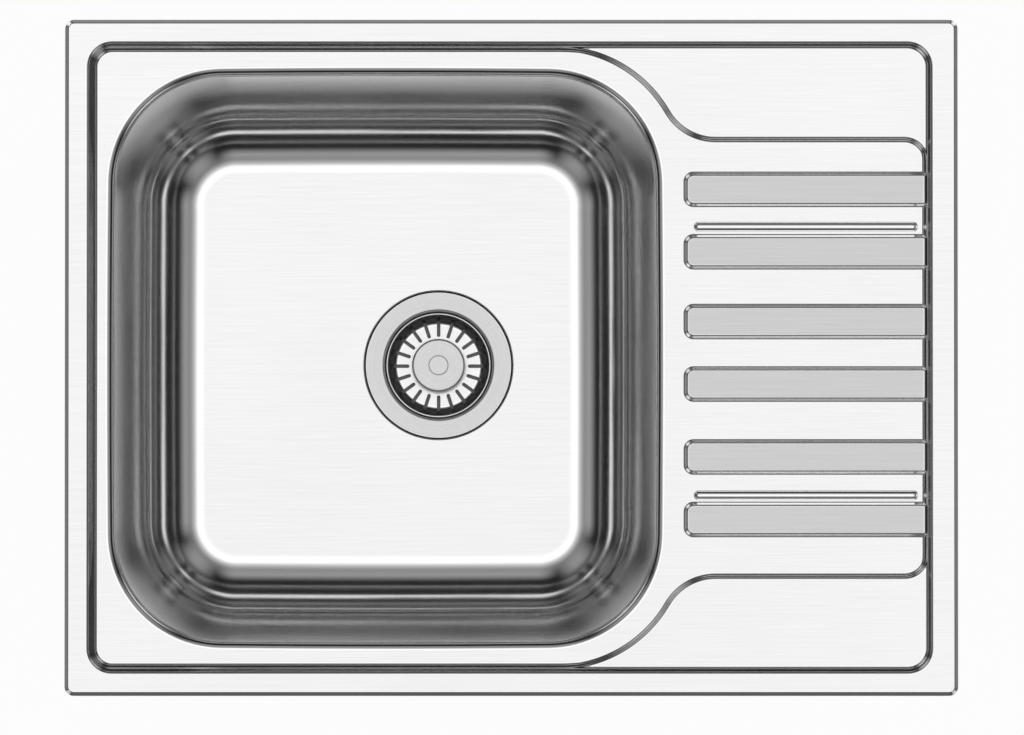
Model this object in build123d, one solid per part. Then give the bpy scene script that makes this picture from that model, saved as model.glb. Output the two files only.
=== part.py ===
from build123d import *

import math
import os

# Stainless steel inset kitchen sink with one bowl at the left and a drainboard at the right.
# Millimetres. +X runs along the sink to the drainboard, +Y to the wall side, +Z up.
# The origin is the middle of the rim in plan, on the worktop that the rim rests on.

# ------------------------------------------------------------------ rim, deck and steps
SINK_LENGTH = 660.0
SINK_WIDTH = 500.0
SHEET = 0.8
RIM_HEIGHT = 5.0
RIM_CORNER = 7.0
RIM_EDGE_ROLL = 2.0
LIP_CLEARANCE = 0.3
RIM_LEFT = 15.6
RIM_RIGHT = 17.9
RIM_FRONT = 15.8
RIM_BACK = 15.4

STEP_ANGLE = 55.0
STEP_BEND = 3.0
DECK_DROP = 8.5
PLATFORM_DROP = 5.0
RING_CORNER = 18.0

# The deck narrows to the drainboard in an S: a lobe round the bowl's corner, then a return bend.
LOBE_RADIUS = 93.4
LOBE_FROM_RIGHT = 296.5
LOBE_LAP = 0.8
RETURN_RADIUS = 42.5
DRAINBOARD_HALF_WIDTH = 160.2
DRAINBOARD_CORNER = 15.0

# ------------------------------------------------------------------ ribs and rods
RIB_FROM_RIGHT = 202.3
RIB_WIDTH = 25.5
RIB_HEIGHT = 2.8
RIB_CORNER = 7.0
RIB_SLOPE = 50.0
RIB_BEND = 2.0
RIB_GROUPS = (101.5, 3.7, -96.4)
RIB_SPACING = 46.2
ROD_FROM_RIGHT = 29.5
ROD_LENGTH = 165.5
ROD_WIDTH = 7.0
ROD_HEIGHT = 2.0
ROD_CENTRES = (97.0, -101.6)

# ------------------------------------------------------------------ bowl
BOWL_LEFT_MARGIN = 6.0
BOWL_FRONT_MARGIN = 10.7
BOWL_BACK_MARGIN = 11.7
BOWL_LENGTH = 410.2
BOWL_CORNER = 86.0
BOWL_SIDE_BOW = 1.7
BOWL_BEND = 7.5
BOWL_DEPTH = 180.0
BOWL_DRAFT_X = 8.0
BOWL_DRAFT_Y = 9.2
BOWL_FOOT_CORNER = 64.0
BOWL_FOOT_BOW = 1.0
BOWL_FLOOR_RADIUS = 45.0
BOWL_FLANGE = 2.0
WELD_GAP = 0.05

# ------------------------------------------------------------------ waste seat and strainer
WASTE_FROM_LEFT = 275.0
WASTE_Y = 0.0
WASTE_HOLE_RADIUS = 45.0
SEAT_TOP_RADIUS = 56.2
SEAT_RADIUS = 55.0
SEAT_DEPTH = 2.4
FLANGE_RADIUS = 54.4
FLANGE_SHEET = 1.0
FLANGE_GASKET = 1.2
GASKET_INSET = 1.4
CUP_RADIUS = 40.6
CUP_MOUTH_BEND = 2.2
CUP_FOOT_RADIUS = 37.6
CUP_FOOT_BEND = 6.0
CUP_DEPTH = 33.0
WELL_RADIUS = 9.5
WELL_DEPTH = 8.0
WELL_BEND = 1.0
DRAIN_HOLE_RADIUS = 3.6
DRAIN_HOLE_CIRCLE = 15.6
DRAIN_HOLES = 8

HOUSING_GASKET = 2.5
HOUSING_FLANGE_RADIUS = 53.0
HOUSING_FLANGE = 4.0
HOUSING_BORE = 44.0
HOUSING_WALL = 2.5
HOUSING_WALL_END = 41.0
OUTLET_BORE = 19.0
OUTLET_RADIUS = 23.9
OUTLET_START = 62.0
OUTLET_COLLAR = 5.0
OUTLET_THREAD = 22.0
SPIDER_ARMS = 4
SPIDER_TURN = 45.0
SPIDER_ARM = 3.0
SPIDER_TOP = 60.0
SPIDER_DEPTH = 13.0
SPIDER_BOSS = 9.5
SPIDER_WEB = 3.0

CLAMP_SCREW_RADIUS = 4.0
CLAMP_HEAD_RADIUS = 6.5
CLAMP_HEAD = 3.8
CLAMP_HEAD_ROUND = 0.8
DRIVER_SLOT = 1.2
CLAMP_NUT_FLATS = 13.0
CLAMP_NUT = 6.5
SCREW_HOLE_CLEARANCE = 0.25
NUT_POCKET_PLAY = 0.1
THREAD_CLEARANCE = 0.05

# ------------------------------------------------------------------ basket
BASKET_TOP = 4.0
BASKET_FLOOR = 27.0
BASKET_SHEET = 0.8
BASKET_RADIUS = 38.4
BASKET_FOOT_RADIUS = 36.6
BASKET_FOOT_BEND = 7.0
BASKET_BEAD = 0.9
BASKET_SLOTS = 20
SLOT_WIDTH = 2.7
SLOT_INNER = 22.1
SLOT_OUTER = 36.9
KNOB_RADIUS = 19.95
KNOB_FACE_RADIUS = 18.75
KNOB_TOP = 3.0
KNOB_DISC = 3.2
KNOB_NECK = 7.0
KNOB_NECK_FOOT = 9.0
KNOB_CAP_RADIUS = 7.2
KNOB_CAP = 1.2
CAP_CLEARANCE = 0.1
STEM_RADIUS = 2.5
STEM_HEAD_RADIUS = 4.5
STEM_HEAD = 3.0
STEM_NUT_FLATS = 8.0
STEM_NUT = 3.2
STOPPER_RADIUS = 21.6
STOPPER_THICKNESS = 2.6
STOPPER_LIP = 2.0
STOPPER_WASHER_RADIUS = 8.0
STOPPER_WASHER = 1.0
TURN_CLEARANCE = 0.08
REST_GAP = 0.3

# ------------------------------------------------------------------ under the rim
SEAL_INSET = 2.2
SEAL_WIDTH = 7.0
PAD_LENGTH = 240.0
PAD_WIDTH = 220.0
PAD_THICKNESS = 2.5
PAD_CORNER = 18.0
PAD_HOLE_RADIUS = 66.0
PAD_SHIFT = -39.0

RAIL_SHEET = 1.2
RAIL_WELD_FLANGE = 5.0
RAIL_FOOT_FLANGE = 13.0
RAIL_SEAT = 24.0
RAIL_BEND = 1.0
LONG_RAIL_LENGTH = 290.0
LONG_RAIL_FROM_LEFT = 75.0
SHORT_RAIL_LENGTH = 90.0
SHORT_RAIL_FROM_RIGHT = 70.0
SIDE_RAIL_LENGTH = 120.0
SLOT_PLAY = 0.3
SLOT_LENGTH = 14.0

CLIP_FROM_RAIL_END = 40.0
BOLT_OFFSET = 7.0
BOLT_RADIUS = 3.0
BOLT_HEAD_RADIUS = 5.6
BOLT_HEAD = 3.5
BOLT_HEAD_ROUND = 1.6
BOLT_TAIL = 4.0
CLAW_GRIP = 44.0
CLAW_RISE = 8.0
CLAW_TOOTH = 6.0
CLAW_REACH = 32.0
CLAW_SHEET = 2.0
CLAW_WIDTH = 16.0
CLAW_HEEL = 8.0
CLAW_BEND = 1.5
CLAW_NOTCH_WIDTH = 7.0
CLAW_NOTCH_DEPTH = 3.0
NUT_RADIUS = 5.5
NUT_HEIGHT = 7.0
NUT_COLLAR_RADIUS = 7.5
NUT_COLLAR = 1.4
WING_SPAN = 24.0
WING_THICKNESS = 2.0
WING_RISE = 4.0
NUT_CLEARANCE = 0.08
CLAW_SEAT_GAP = 0.2

BIG = 1000.0


def tan_d(angle):
    return math.tan(math.radians(angle))


def sin_d(angle):
    return math.sin(math.radians(angle))


def cos_d(angle):
    return math.cos(math.radians(angle))


# ------------------------------------------------------------------ levels and outlines that follow
DECK_Z = RIM_HEIGHT - DECK_DROP
PLATFORM_Z = RIM_HEIGHT - PLATFORM_DROP
FLOOR_Z = DECK_Z - BOWL_DEPTH
BEND_REACH = STEP_BEND * tan_d(STEP_ANGLE / 2)
STEP_RUN = DECK_DROP / tan_d(STEP_ANGLE)

# The ring step's upper corner line, where rim plane and slope would meet if they were not bent.
RING_X0 = -SINK_LENGTH / 2 + RIM_LEFT + BEND_REACH
RING_X1 = SINK_LENGTH / 2 - RIM_RIGHT - BEND_REACH
RING_Y0 = -SINK_WIDTH / 2 + RIM_FRONT + BEND_REACH
RING_Y1 = SINK_WIDTH / 2 - RIM_BACK - BEND_REACH

# Where the flat deck ends at the foot of the ring step.
DECK_X0 = RING_X0 + STEP_RUN + BEND_REACH
DECK_X1 = RING_X1 - STEP_RUN - BEND_REACH
DECK_Y0 = RING_Y0 + STEP_RUN + BEND_REACH
DECK_Y1 = RING_Y1 - STEP_RUN - BEND_REACH

BOWL_WIDTH = DECK_Y1 - DECK_Y0 - BOWL_FRONT_MARGIN - BOWL_BACK_MARGIN
BOWL_X = DECK_X0 + BOWL_LEFT_MARGIN + BOWL_LENGTH / 2
BOWL_Y = DECK_Y0 + BOWL_FRONT_MARGIN + BOWL_WIDTH / 2

# Places along the sink that are set out from its left or right edge.
WASTE_X = -SINK_LENGTH / 2 + WASTE_FROM_LEFT
LOBE_X = SINK_LENGTH / 2 - LOBE_FROM_RIGHT
RIB_LEFT = SINK_LENGTH / 2 - RIB_FROM_RIGHT
ROD_LEFT = SINK_LENGTH / 2 - ROD_FROM_RIGHT - ROD_LENGTH
LONG_RAIL_CENTRE = -SINK_LENGTH / 2 + LONG_RAIL_FROM_LEFT + LONG_RAIL_LENGTH / 2
SHORT_RAIL_CENTRE = SINK_LENGTH / 2 - SHORT_RAIL_FROM_RIGHT - SHORT_RAIL_LENGTH / 2


def below(level):
    """Everything under a level."""
    return Pos(0, 0, level - BIG / 2) * Box(BIG, BIG, BIG)


def above(level):
    """Everything over a level."""
    return Pos(0, 0, level + BIG / 2) * Box(BIG, BIG, BIG)


def low_loop(solid):
    return solid.edges().group_by(Axis.Z)[0]


def loop_at(solid, level):
    """Edges of a closed outline that lies at a level, without the edges of a large slab."""
    edges = solid.edges().filter_by_position(Axis.Z, level - 1e-4, level + 1e-4)
    within = BIG / 2 - SHEET
    return [e for e in edges if max(abs(e.center().X), abs(e.center().Y)) < within]


def arc(centre_x, centre_y, radius, start, end):
    """Arc about a centre, from one angle to another in degrees."""
    points = []
    for angle in (start, (start + end) / 2, end):
        points.append((centre_x + radius * cos_d(angle), centre_y + radius * sin_d(angle)))
    return ThreePointArc(*points)


def bent_strip(points, thickness, inside_bends):
    """Section of a bent strip: a path and the same path moved sideways, with round bends.

    The thickness is positive where the metal lies to the left of the path. Each corner has its
    inside bend radius.
    """
    count = len(points)
    moved = []
    path_radii = []
    moved_radii = []
    for i, (x, y) in enumerate(points):
        normals = []
        for a, b in ((i - 1, i), (i, i + 1)):
            if a < 0 or b >= count:
                continue
            dx = points[b][0] - points[a][0]
            dy = points[b][1] - points[a][1]
            length = math.hypot(dx, dy)
            normals.append((-dy / length, dx / length))
        first, last = normals[0], normals[-1]
        scale = thickness / (1 + first[0] * last[0] + first[1] * last[1])
        moved.append((x + scale * (first[0] + last[0]), y + scale * (first[1] + last[1])))
        if len(normals) == 2:
            turns_left = first[0] * last[1] - first[1] * last[0] > 0
            metal_inside = turns_left == (thickness > 0)
            inner = inside_bends[i - 1]
            outer = inner + abs(thickness)
            path_radii.append(outer if metal_inside else inner)
            moved_radii.append(inner if metal_inside else outer)
    one = FilletPolyline(*points, radius=path_radii)
    other = FilletPolyline(*moved, radius=moved_radii)
    edges = one.edges() + other.edges() + [Line(points[0], moved[0]), Line(points[-1], moved[-1])]
    return make_face(edges)


def turned(section):
    """Solid of revolution about the waste's axis, from a section in radius and height over the floor."""
    return Pos(WASTE_X, WASTE_Y, FLOOR_Z) * revolve(Plane.XZ * section, Axis.Z)


def turned_polygon(*points):
    return turned(make_face(Polyline(*points, close=True)))


# ------------------------------------------------------------------ deck pressing
# Each pressing is the space over its lower face less the space over its upper face. The number
# "side" is 0 for the upper face and 1 for the lower face, one sheet thickness further down.

def ring_recess(floor_level, side):
    """Space inside the ring step, down to the deck or to the platforms, with a round foot."""
    low = floor_level - side * SHEET
    inset = (RIM_HEIGHT - low) / tan_d(STEP_ANGLE) - side * SHEET / sin_d(STEP_ANGLE)
    length = RING_X1 - RING_X0 - 2 * inset
    width = RING_Y1 - RING_Y0 - 2 * inset
    centre = Pos((RING_X0 + RING_X1) / 2, (RING_Y0 + RING_Y1) / 2, low)
    outline = centre * RectangleRounded(length, width, RING_CORNER - inset)
    over_rim = RIM_HEIGHT + 2 * SHEET - low
    space = extrude(outline, over_rim, taper=STEP_ANGLE - 90)
    return fillet(low_loop(space), STEP_BEND + side * SHEET)


def deck_outline():
    """The deck's foot line: it laps into the ring step but for the two S-shaped sides."""
    left = RING_X0 + STEP_RUN - LOBE_LAP
    right = RING_X1 - STEP_RUN + LOBE_LAP
    corner = RING_CORNER - STEP_RUN + LOBE_LAP
    front = RING_Y0 + STEP_RUN - LOBE_LAP
    back = RING_Y1 - STEP_RUN + LOBE_LAP
    edges = []
    for edge_y, flip in ((back, False), (-front, True)):
        lobe_y = edge_y - LOBE_RADIUS
        return_y = DRAINBOARD_HALF_WIDTH + RETURN_RADIUS
        reach = LOBE_RADIUS + RETURN_RADIUS
        return_x = LOBE_X + math.sqrt(reach ** 2 - (return_y - lobe_y) ** 2)
        lean = math.degrees(math.atan2(return_y - lobe_y, return_x - LOBE_X))
        last_x = right - DRAINBOARD_CORNER
        last_y = DRAINBOARD_HALF_WIDTH - DRAINBOARD_CORNER
        half = [
            Line((left, 0), (left, edge_y - corner)),
            arc(left + corner, edge_y - corner, corner, 180, 90),
            Line((left + corner, edge_y), (LOBE_X, edge_y)),
            arc(LOBE_X, lobe_y, LOBE_RADIUS, 90, lean),
            arc(return_x, return_y, RETURN_RADIUS, 180 + lean, 270),
            Line((return_x, DRAINBOARD_HALF_WIDTH), (last_x, DRAINBOARD_HALF_WIDTH)),
            arc(last_x, last_y, DRAINBOARD_CORNER, 90, 0),
            Line((right, last_y), (right, 0)),
        ]
        edges += [edge.mirror(Plane.XZ) for edge in half] if flip else half
    return make_face(edges)


def deck_recess(side):
    """Space over the deck, with a round foot and a round edge where it opens into the platforms."""
    low = DECK_Z - side * SHEET
    platform = PLATFORM_Z - side * SHEET
    outline = deck_outline()
    if side:
        outline = offset(outline, side * SHEET * tan_d(STEP_ANGLE / 2))
    foot = Pos(0, 0, low) * outline
    space = extrude(foot, platform - low, taper=STEP_ANGLE - 90)
    chimney = extrude(foot, platform - low + STEP_BEND, taper=STEP_ANGLE - 90)
    space += Pos(0, 0, platform + SHEET) * Box(BIG, BIG, 2 * SHEET)
    space = fillet(loop_at(space, platform), STEP_BEND - side * SHEET)
    space = fillet(low_loop(space), STEP_BEND + side * SHEET)
    return space & below(platform) + chimney


def rib(centre_y, side):
    """Flat-topped rib that runs from its round left end into the ring step at the right."""
    low = DECK_Z - side * SHEET
    shrink = side * SHEET * tan_d(RIB_SLOPE / 2)
    right = RING_X1 + RIB_WIDTH
    length = right - RIB_LEFT - shrink
    middle = Pos(right - length / 2, centre_y, low)
    outline = middle * RectangleRounded(length, RIB_WIDTH - 2 * shrink, RIB_CORNER - shrink)
    solid = extrude(outline, RIB_HEIGHT, taper=90 - RIB_SLOPE)
    solid = fillet(solid.edges().group_by(Axis.Z)[-1], RIB_BEND - side * SHEET)
    solid += Pos(0, 0, low - SHEET) * Box(BIG, BIG, 2 * SHEET)
    solid = fillet(loop_at(solid, low), RIB_BEND)
    keep = Pos((RIB_LEFT + right) / 2, centre_y, low)
    return solid & (keep * Box(right - RIB_LEFT + RIB_WIDTH, RIB_WIDTH + 4 * RIB_BEND, 2 * RIB_WIDTH))


def rod(centre_y, side):
    """Thin round ridge with round ends: the cap of a long cylinder sunk under the deck."""
    low = DECK_Z - side * SHEET
    radius = (ROD_WIDTH ** 2 / 4 + ROD_HEIGHT ** 2) / (2 * ROD_HEIGHT)
    sunk = radius - ROD_HEIGHT
    reach = ROD_LENGTH - ROD_WIDTH
    round_end = Pos(ROD_LEFT + ROD_WIDTH / 2, centre_y, DECK_Z - sunk) * Sphere(radius - side * SHEET)
    middle = Pos(ROD_LEFT + ROD_LENGTH / 2, centre_y, DECK_Z - sunk) * Rot(0, 90, 0)
    body = middle * Cylinder(radius - side * SHEET, reach) + round_end + Pos(reach, 0, 0) * round_end
    return body & above(low)


def rib_centres():
    centres = []
    for group in RIB_GROUPS:
        centres += [group + RIB_SPACING / 2, group - RIB_SPACING / 2]
    return centres


def under_deck_face(side):
    """Everything under the deck pressing's upper face (side 0) or lower face (side 1)."""
    top = RIM_HEIGHT - side * SHEET
    depth = 2 * DECK_DROP
    inset = side * SHEET
    outline = RectangleRounded(SINK_LENGTH - 2 * inset, SINK_WIDTH - 2 * inset, RIM_CORNER - inset)
    block = extrude(Pos(0, 0, top - depth) * outline, depth)
    block = fillet(block.edges().group_by(Axis.Z)[-1], RIM_EDGE_ROLL - inset)
    recess = ring_recess(PLATFORM_Z, side) + (deck_recess(side) & ring_recess(DECK_Z, side))
    block -= recess
    inside = RIM_LEFT / 2
    rim_edges = [
        e for e in block.edges().group_by(Axis.Z)[-1]
        if abs(e.center().X) < SINK_LENGTH / 2 - inside and abs(e.center().Y) < SINK_WIDTH / 2 - inside
    ]
    block = fillet(rim_edges, STEP_BEND - inset)
    for centre_y in rib_centres():
        block += rib(centre_y, side)
    for centre_y in ROD_CENTRES:
        block += rod(centre_y, side)
    return block


def bowl_outline(grow):
    """Outline of the bowl's flange, so far outside the line where the bend begins."""
    half_x = BOWL_LENGTH / 2 + grow
    half_y = BOWL_WIDTH / 2 + grow
    return bowed_rectangle(half_x, half_y, BOWL_SIDE_BOW, BOWL_CORNER + grow)


def bowed_rectangle(half_x, half_y, bow, corner):
    """Rectangle about the bowl's middle, with bowed sides and round corners."""
    corners = [(-half_x + bow, -half_y + bow), (half_x - bow, -half_y + bow)]
    corners += [(half_x - bow, half_y - bow), (-half_x + bow, half_y - bow)]
    middles = [(0, -half_y), (half_x, 0), (0, half_y), (-half_x, 0)]
    sides = [ThreePointArc(corners[i], middles[i], corners[(i + 1) % 4]) for i in range(4)]
    return Pos(BOWL_X, BOWL_Y, 0) * fillet(make_face(sides).vertices(), corner)


def deck_pressing():
    sheet = under_deck_face(0) - under_deck_face(1)
    hole = extrude(Pos(0, 0, DECK_Z - DECK_DROP) * bowl_outline(BOWL_FLANGE), 2 * DECK_DROP)
    sheet -= hole
    under_lip = Pos(0, 0, LIP_CLEARANCE - DECK_DROP) * Box(BIG, BIG, 2 * DECK_DROP)
    inner = Box(SINK_LENGTH - RIM_LEFT, SINK_WIDTH - RIM_LEFT, BIG)
    return sheet - (under_lip - inner)


# ------------------------------------------------------------------ bowl pressing
def bowl_space(side):
    """Space inside the bowl and over the deck, for the pressing's inner or outer face."""
    top = DECK_Z - side * SHEET
    low = FLOOR_Z - side * SHEET
    bend = BOWL_BEND * tan_d((90 - BOWL_DRAFT_X) / 2)
    sections = []
    mouth = (DECK_Z + SHEET, BOWL_CORNER - bend, BOWL_SIDE_BOW)
    foot = (low, BOWL_FOOT_CORNER, BOWL_FOOT_BOW)
    for level, corner, bow in (mouth, foot):
        halves = []
        for size, draft in ((BOWL_LENGTH, BOWL_DRAFT_X), (BOWL_WIDTH, BOWL_DRAFT_Y)):
            inset = bend + (DECK_Z - level) * tan_d(draft) - side * SHEET / cos_d(draft)
            halves.append(size / 2 - inset)
        sections.append(Pos(0, 0, level) * bowed_rectangle(*halves, bow, corner + side * SHEET))
    space = loft(sections, ruled=True)
    space = fillet(low_loop(space), BOWL_FLOOR_RADIUS + side * SHEET)
    space &= below(top)
    space += Pos(0, 0, top + SHEET) * Box(BIG, BIG, 2 * SHEET)
    space = fillet(loop_at(space, top), BOWL_BEND - side * SHEET)
    draw = (SEAT_TOP_RADIUS - SEAT_RADIUS) / SEAT_DEPTH
    seat_low = -SEAT_DEPTH - side * SHEET
    seat_edge = SEAT_RADIUS + side * SHEET
    seat = turned_polygon((0, 0), (seat_edge + draw * SEAT_DEPTH, 0), (seat_edge, seat_low), (0, seat_low))
    return space + seat


def bowl_pressing():
    sheet = bowl_space(1) - bowl_space(0)
    inside_weld = Pos(0, 0, FLOOR_Z - BOWL_DEPTH) * bowl_outline(BOWL_FLANGE - WELD_GAP)
    sheet &= extrude(inside_weld, 2 * BOWL_DEPTH)
    hole = Pos(WASTE_X, WASTE_Y, FLOOR_Z) * Cylinder(WASTE_HOLE_RADIUS, 4 * SEAT_DEPTH)
    return sheet & below(DECK_Z) - hole


# ------------------------------------------------------------------ strainer
# Sections are in radius from the waste's axis and height over the bowl's floor.
FLANGE_TOP = FLANGE_GASKET + FLANGE_SHEET - SEAT_DEPTH
WELL_FLOOR = -CUP_DEPTH - WELL_DEPTH
HOUSING_TOP = -SEAT_DEPTH - SHEET - HOUSING_GASKET
SPIDER_FOOT = -SPIDER_TOP - SPIDER_DEPTH
NUT_SEAT = SPIDER_FOOT + SPIDER_WEB
CLAMP_NUT_FOOT = NUT_SEAT + NUT_POCKET_PLAY
STOPPER_TOP = -BASKET_FLOOR - BASKET_SHEET - TURN_CLEARANCE
STOPPER_FOOT = STOPPER_TOP - STOPPER_THICKNESS
WASHER_FOOT = STOPPER_FOOT - STOPPER_WASHER
STEM_NUT_TOP = WASHER_FOOT - TURN_CLEARANCE
STEM_NUT_FOOT = STEM_NUT_TOP - STEM_NUT
CAP_SEAT = -KNOB_TOP - KNOB_CAP
STEM_SEAT = CAP_SEAT - CAP_CLEARANCE - STEM_HEAD


def around_waste(count, radius, start=0.0):
    """Places in a circle about the waste's axis, at the bowl's floor."""
    middle = Pos(WASTE_X, WASTE_Y, FLOOR_Z)
    return [middle * Rot(0, 0, start + 360 * i / count) * Pos(radius, 0, 0) for i in range(count)]


def hexagon(flats, foot, height, hole_radius):
    """Hexagon nut about the waste's axis."""
    body = extrude(RegularPolygon(flats / 2, 6, major_radius=False), height)
    body -= Pos(0, 0, height / 2) * Cylinder(hole_radius, 2 * height)
    return Pos(WASTE_X, WASTE_Y, FLOOR_Z + foot) * body


def strainer_cup():
    """Flange and cup in one pressing, with a well for the clamp screw's head and drain holes."""
    path = [
        (FLANGE_RADIUS, FLANGE_TOP),
        (CUP_RADIUS, FLANGE_TOP),
        (CUP_FOOT_RADIUS, -CUP_DEPTH),
        (WELL_RADIUS, -CUP_DEPTH),
        (WELL_RADIUS, WELL_FLOOR),
        (CLAMP_SCREW_RADIUS + SCREW_HOLE_CLEARANCE, WELL_FLOOR),
    ]
    bends = (CUP_MOUTH_BEND - FLANGE_SHEET, CUP_FOOT_BEND, WELL_BEND, WELL_BEND)
    cup = turned(bent_strip(path, FLANGE_SHEET, bends))
    for place in around_waste(DRAIN_HOLES, DRAIN_HOLE_CIRCLE):
        cup -= place * Pos(0, 0, -CUP_DEPTH) * Cylinder(DRAIN_HOLE_RADIUS, 4 * FLANGE_SHEET)
    return cup


def flange_gasket():
    inner = WASTE_HOLE_RADIUS + GASKET_INSET
    outer = FLANGE_RADIUS - GASKET_INSET
    foot = -SEAT_DEPTH
    top = foot + FLANGE_GASKET
    return turned_polygon((inner, foot), (outer, foot), (outer, top), (inner, top))


def housing_gasket():
    inner = WASTE_HOLE_RADIUS + GASKET_INSET
    outer = HOUSING_FLANGE_RADIUS - GASKET_INSET
    top = HOUSING_TOP + HOUSING_GASKET
    return turned_polygon((inner, HOUSING_TOP), (outer, HOUSING_TOP), (outer, top), (inner, top))


def strainer_housing():
    """Plastic funnel under the bowl: a spider moulded round the clamp nut, and a threaded outlet."""
    wall = HOUSING_BORE + HOUSING_WALL
    collar = OUTLET_RADIUS + HOUSING_WALL
    funnel_foot = -OUTLET_START
    collar_foot = funnel_foot - OUTLET_COLLAR
    end = collar_foot - OUTLET_THREAD
    outside = [
        (0, HOUSING_TOP),
        (HOUSING_FLANGE_RADIUS, HOUSING_TOP),
        (HOUSING_FLANGE_RADIUS, HOUSING_TOP - HOUSING_FLANGE),
        (wall, HOUSING_TOP - HOUSING_FLANGE),
        (wall, -HOUSING_WALL_END),
        (collar, funnel_foot),
        (collar, collar_foot),
        (OUTLET_RADIUS, collar_foot),
        (OUTLET_RADIUS, end),
        (0, end),
    ]
    inside = [
        (0, HOUSING_TOP),
        (HOUSING_BORE, HOUSING_TOP),
        (HOUSING_BORE, -HOUSING_WALL_END),
        (OUTLET_BORE, funnel_foot),
        (OUTLET_BORE, end),
        (0, end),
    ]
    body = turned_polygon(*outside)
    boss = [(0, -SPIDER_TOP), (SPIDER_BOSS, -SPIDER_TOP), (SPIDER_BOSS, SPIDER_FOOT), (0, SPIDER_FOOT)]
    spider = turned_polygon(*boss)
    for place in around_waste(SPIDER_ARMS, collar / 2, SPIDER_TURN):
        spider += place * Pos(0, 0, -SPIDER_TOP - SPIDER_DEPTH / 2) * Box(collar, SPIDER_ARM, SPIDER_DEPTH)
    housing = body - turned_polygon(*inside) + (spider & body)
    screw_way = CLAMP_SCREW_RADIUS + SCREW_HOLE_CLEARANCE
    housing -= turned_polygon((0, 0), (screw_way, 0), (screw_way, NUT_SEAT), (0, NUT_SEAT))
    flats = CLAMP_NUT_FLATS + 2 * NUT_POCKET_PLAY
    return housing - hexagon(flats, NUT_SEAT, CLAMP_NUT + NUT_POCKET_PLAY, screw_way / 2)


def clamp_screw():
    head_top = WELL_FLOOR + CLAMP_HEAD
    profile = [
        (0, head_top),
        (CLAMP_HEAD_RADIUS - CLAMP_HEAD_ROUND, head_top),
        (CLAMP_HEAD_RADIUS, head_top - CLAMP_HEAD_ROUND),
        (CLAMP_HEAD_RADIUS, WELL_FLOOR),
        (CLAMP_SCREW_RADIUS, WELL_FLOOR),
        (CLAMP_SCREW_RADIUS, CLAMP_NUT_FOOT),
        (0, CLAMP_NUT_FOOT),
    ]
    slot = Box(3 * CLAMP_HEAD_RADIUS, DRIVER_SLOT, 2 * DRIVER_SLOT)
    return turned_polygon(*profile) - Pos(WASTE_X, WASTE_Y, FLOOR_Z + head_top) * slot


def clamp_nut():
    return hexagon(CLAMP_NUT_FLATS, CLAMP_NUT_FOOT, CLAMP_NUT, CLAMP_SCREW_RADIUS + THREAD_CLEARANCE)


# ------------------------------------------------------------------ basket
def basket_cup():
    """Deep-drawn cup with a rolled rim and slots that run from the floor up into its round foot."""
    rim_z = -BASKET_TOP - BASKET_BEAD
    path = [
        (BASKET_RADIUS, rim_z),
        (BASKET_FOOT_RADIUS, -BASKET_FLOOR),
        (STEM_RADIUS + THREAD_CLEARANCE, -BASKET_FLOOR),
    ]
    cup = turned(bent_strip(path, BASKET_SHEET, (BASKET_FOOT_BEND,)))
    cup += turned(Pos(BASKET_RADIUS + BASKET_SHEET / 2, rim_z) * Circle(BASKET_BEAD))
    slot = Pos(0, 0, -BASKET_FLOOR - 2 * BASKET_SHEET) * SlotOverall(SLOT_OUTER - SLOT_INNER, SLOT_WIDTH)
    cutter = extrude(slot, BASKET_FOOT_BEND + 2 * BASKET_SHEET)
    for place in around_waste(BASKET_SLOTS, (SLOT_INNER + SLOT_OUTER) / 2):
        cup -= place * cutter
    return cup


def basket_knob():
    """Turned mushroom knob: a wide disc on a neck, recessed for the screw's head and its cap."""
    edge = KNOB_RADIUS - KNOB_FACE_RADIUS
    screw_way = STEM_RADIUS + THREAD_CLEARANCE
    head_way = STEM_HEAD_RADIUS + CAP_CLEARANCE
    cap_way = KNOB_CAP_RADIUS + CAP_CLEARANCE
    profile = [
        (cap_way, -KNOB_TOP),
        (KNOB_FACE_RADIUS, -KNOB_TOP),
        (KNOB_RADIUS, -KNOB_TOP - edge),
        (KNOB_RADIUS, -KNOB_TOP - 2 * edge),
        (KNOB_FACE_RADIUS, -KNOB_TOP - KNOB_DISC),
        (KNOB_NECK, -KNOB_TOP - 2 * KNOB_DISC),
        (KNOB_NECK, -BASKET_FLOOR + KNOB_DISC),
        (KNOB_NECK_FOOT, -BASKET_FLOOR),
        (screw_way, -BASKET_FLOOR),
        (screw_way, STEM_SEAT),
        (head_way, STEM_SEAT),
        (head_way, CAP_SEAT),
        (cap_way, CAP_SEAT),
    ]
    return turned_polygon(*profile)


def knob_cap():
    edge = CAP_CLEARANCE
    profile = [
        (0, CAP_SEAT),
        (KNOB_CAP_RADIUS, CAP_SEAT),
        (KNOB_CAP_RADIUS, -KNOB_TOP - edge),
        (KNOB_CAP_RADIUS - edge, -KNOB_TOP),
        (0, -KNOB_TOP),
    ]
    return turned_polygon(*profile)


def basket_screw():
    end = STEM_NUT_FOOT - STEM_RADIUS / 2
    head_top = STEM_SEAT + STEM_HEAD
    profile = [
        (0, head_top),
        (STEM_HEAD_RADIUS, head_top),
        (STEM_HEAD_RADIUS, STEM_SEAT),
        (STEM_RADIUS, STEM_SEAT),
        (STEM_RADIUS, end),
        (0, end),
    ]
    return turned_polygon(*profile)


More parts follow.
